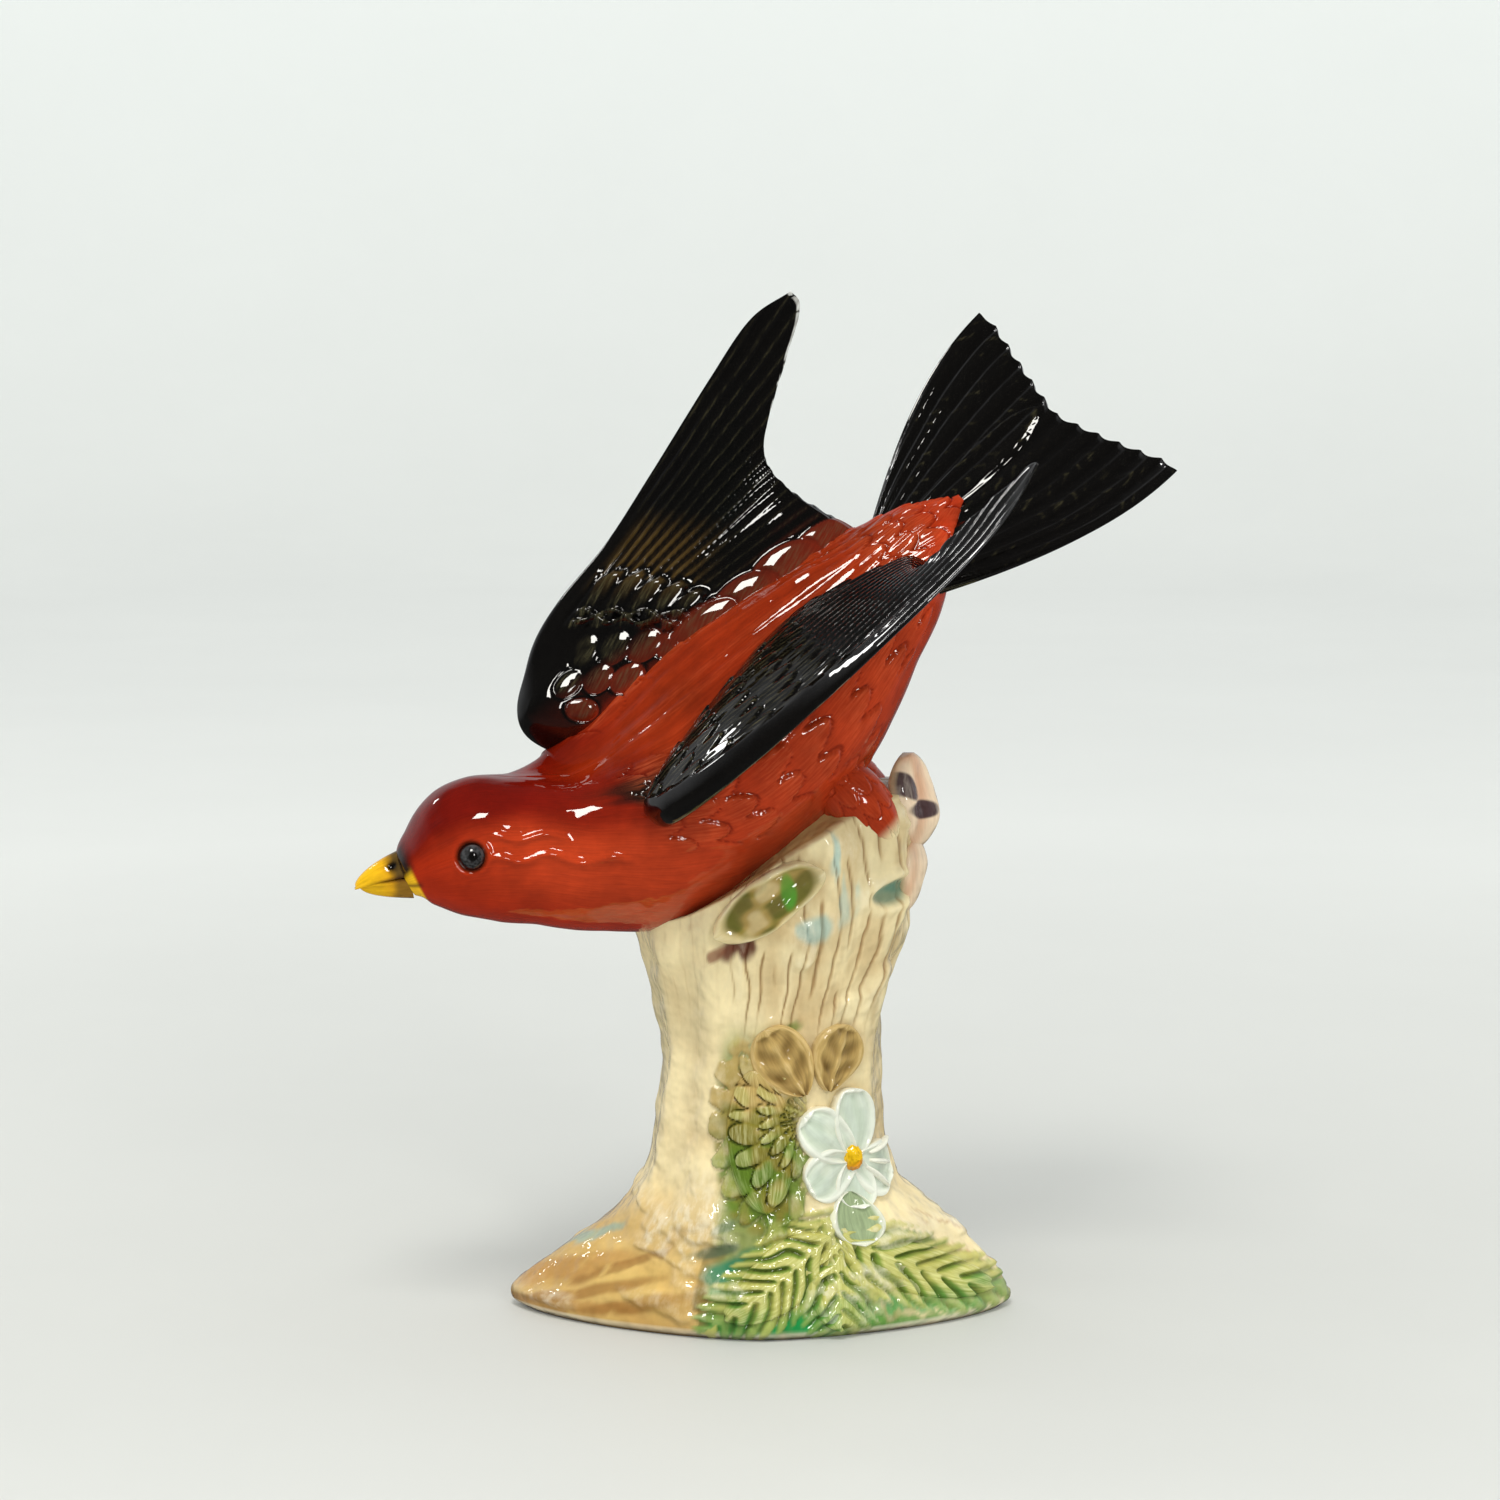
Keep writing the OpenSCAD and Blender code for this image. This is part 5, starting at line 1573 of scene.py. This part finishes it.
def add_bowl():
    """A round pale floor that curves up into a wall far outside every view of the figurine."""
    flat_r, wall_r, wall_h = 1.1, 1.7, 1.4
    turns = 96
    profile = [(r, 0.0) for r in (0.0, 0.2, 0.5, 0.8)]
    bend_r = wall_r - flat_r
    for angle in np.linspace(0, 90, 13):
        profile.append((flat_r + bend_r * sin_d(angle), bend_r * (1 - cos_d(angle))))
    profile.append((wall_r, wall_h))
    vertices, faces = [], []
    for r, z in profile:
        for k in range(turns):
            angle = 360 * k / turns
            vertices.append((r * cos_d(angle), r * sin_d(angle), z))
    for ring in range(len(profile) - 1):
        for k in range(turns):
            a, b = ring * turns + k, ring * turns + (k + 1) % turns
            faces.append((a, b, b + turns, a + turns))
    mesh = bpy.data.meshes.new("studio_bowl")
    mesh.from_pydata(vertices, [], faces)
    mesh.polygons.foreach_set("use_smooth", [True] * len(mesh.polygons))
    mesh.materials.append(pale_surface())
    bowl = bpy.data.objects.new("studio_bowl", mesh)
    bowl.visible_glossy = False
    bpy.context.scene.collection.objects.link(bowl)


def add_softbox(name, azimuth, elevation, distance, width, height, power, colour):
    """A rectangular light aimed at the figurine's middle. Azimuth 0 is the camera's side."""
    aim = np.array([0, 0, 0.075])
    level = np.array([sin_d(azimuth), -cos_d(azimuth), 0]) * cos_d(elevation)
    way = level + np.array([0, 0, sin_d(elevation)])
    light = bpy.data.lights.new(name, "AREA")
    light.shape = "RECTANGLE"
    light.size = width
    light.size_y = height
    light.energy = power
    light.color = colour
    lamp = bpy.data.objects.new(name, light)
    lamp.location = aim + way * distance
    lamp.rotation_euler = (math.radians(90 - elevation), 0, math.radians(azimuth))
    bpy.context.scene.collection.objects.link(lamp)


def add_room(wall, dim, floor, sky):
    """An even pale sky lights everything, and the glaze mirrors something else: a grey wall
    low behind the figurine, the floor, and a dim room elsewhere."""
    world = bpy.data.worlds.new("studio")
    world.use_nodes = True
    tree = world.node_tree
    way = add_node(tree, "ShaderNodeTexCoord").outputs["Generated"]
    parts = add_node(tree, "ShaderNodeSeparateXYZ", {0: way}).outputs
    behind = remap(tree, parts["Y"], -0.10, 0.45, 0, 1)
    low = remap(tree, parts["Z"], 0.40, 0.75, 1, 0)
    upper = mix_colour(tree, times(tree, behind, low), opaque(dim), opaque(wall))
    below = remap(tree, parts["Z"], -0.02, -0.30, 0, 1)
    mirrored = mix_colour(tree, below, upper, opaque(floor))
    glossy = add_node(tree, "ShaderNodeLightPath").outputs["Is Glossy Ray"]
    seen = mix_colour(tree, glossy, opaque(sky), mirrored)
    tree.links.new(seen, tree.nodes["Background"].inputs["Color"])
    bpy.context.scene.world = world


LENS, SENSOR = 97.92, 36                 # mm, which frame the figurine as in the photograph


def add_camera():
    """The view of the photograph: a long lens, eight degrees above level."""
    elevation, distance = 8, 0.6
    aim = np.array([-0.0015, 0, 0.0838]) + AXIS_PLACE * MM
    camera = bpy.data.objects.new("camera", bpy.data.cameras.new("camera"))
    camera.data.lens = LENS
    camera.data.sensor_width = SENSOR
    camera.location = aim + distance * np.array([0, -cos_d(elevation), sin_d(elevation)])
    camera.rotation_euler = (math.radians(90 - elevation), 0, 0)
    bpy.context.scene.collection.objects.link(camera)
    bpy.context.scene.camera = camera


add_bowl()
add_softbox("key", -8, 61, 0.9, 0.25, 0.29, 4.0, (1.0, 0.98, 0.92))
add_softbox("low_window", 22, 22, 0.9, 0.10, 0.22, 1.1, (1.0, 0.98, 0.94))
add_softbox("back_window", -128, 35, 0.9, 0.06, 0.09, 0.26, (1.0, 0.99, 0.97))
add_room((0.40, 0.41, 0.42), (0.05, 0.05, 0.05), (0.07, 0.07, 0.07), (0.80, 0.80, 0.79))
add_camera()
bpy.context.scene.view_settings.view_transform = "Standard"
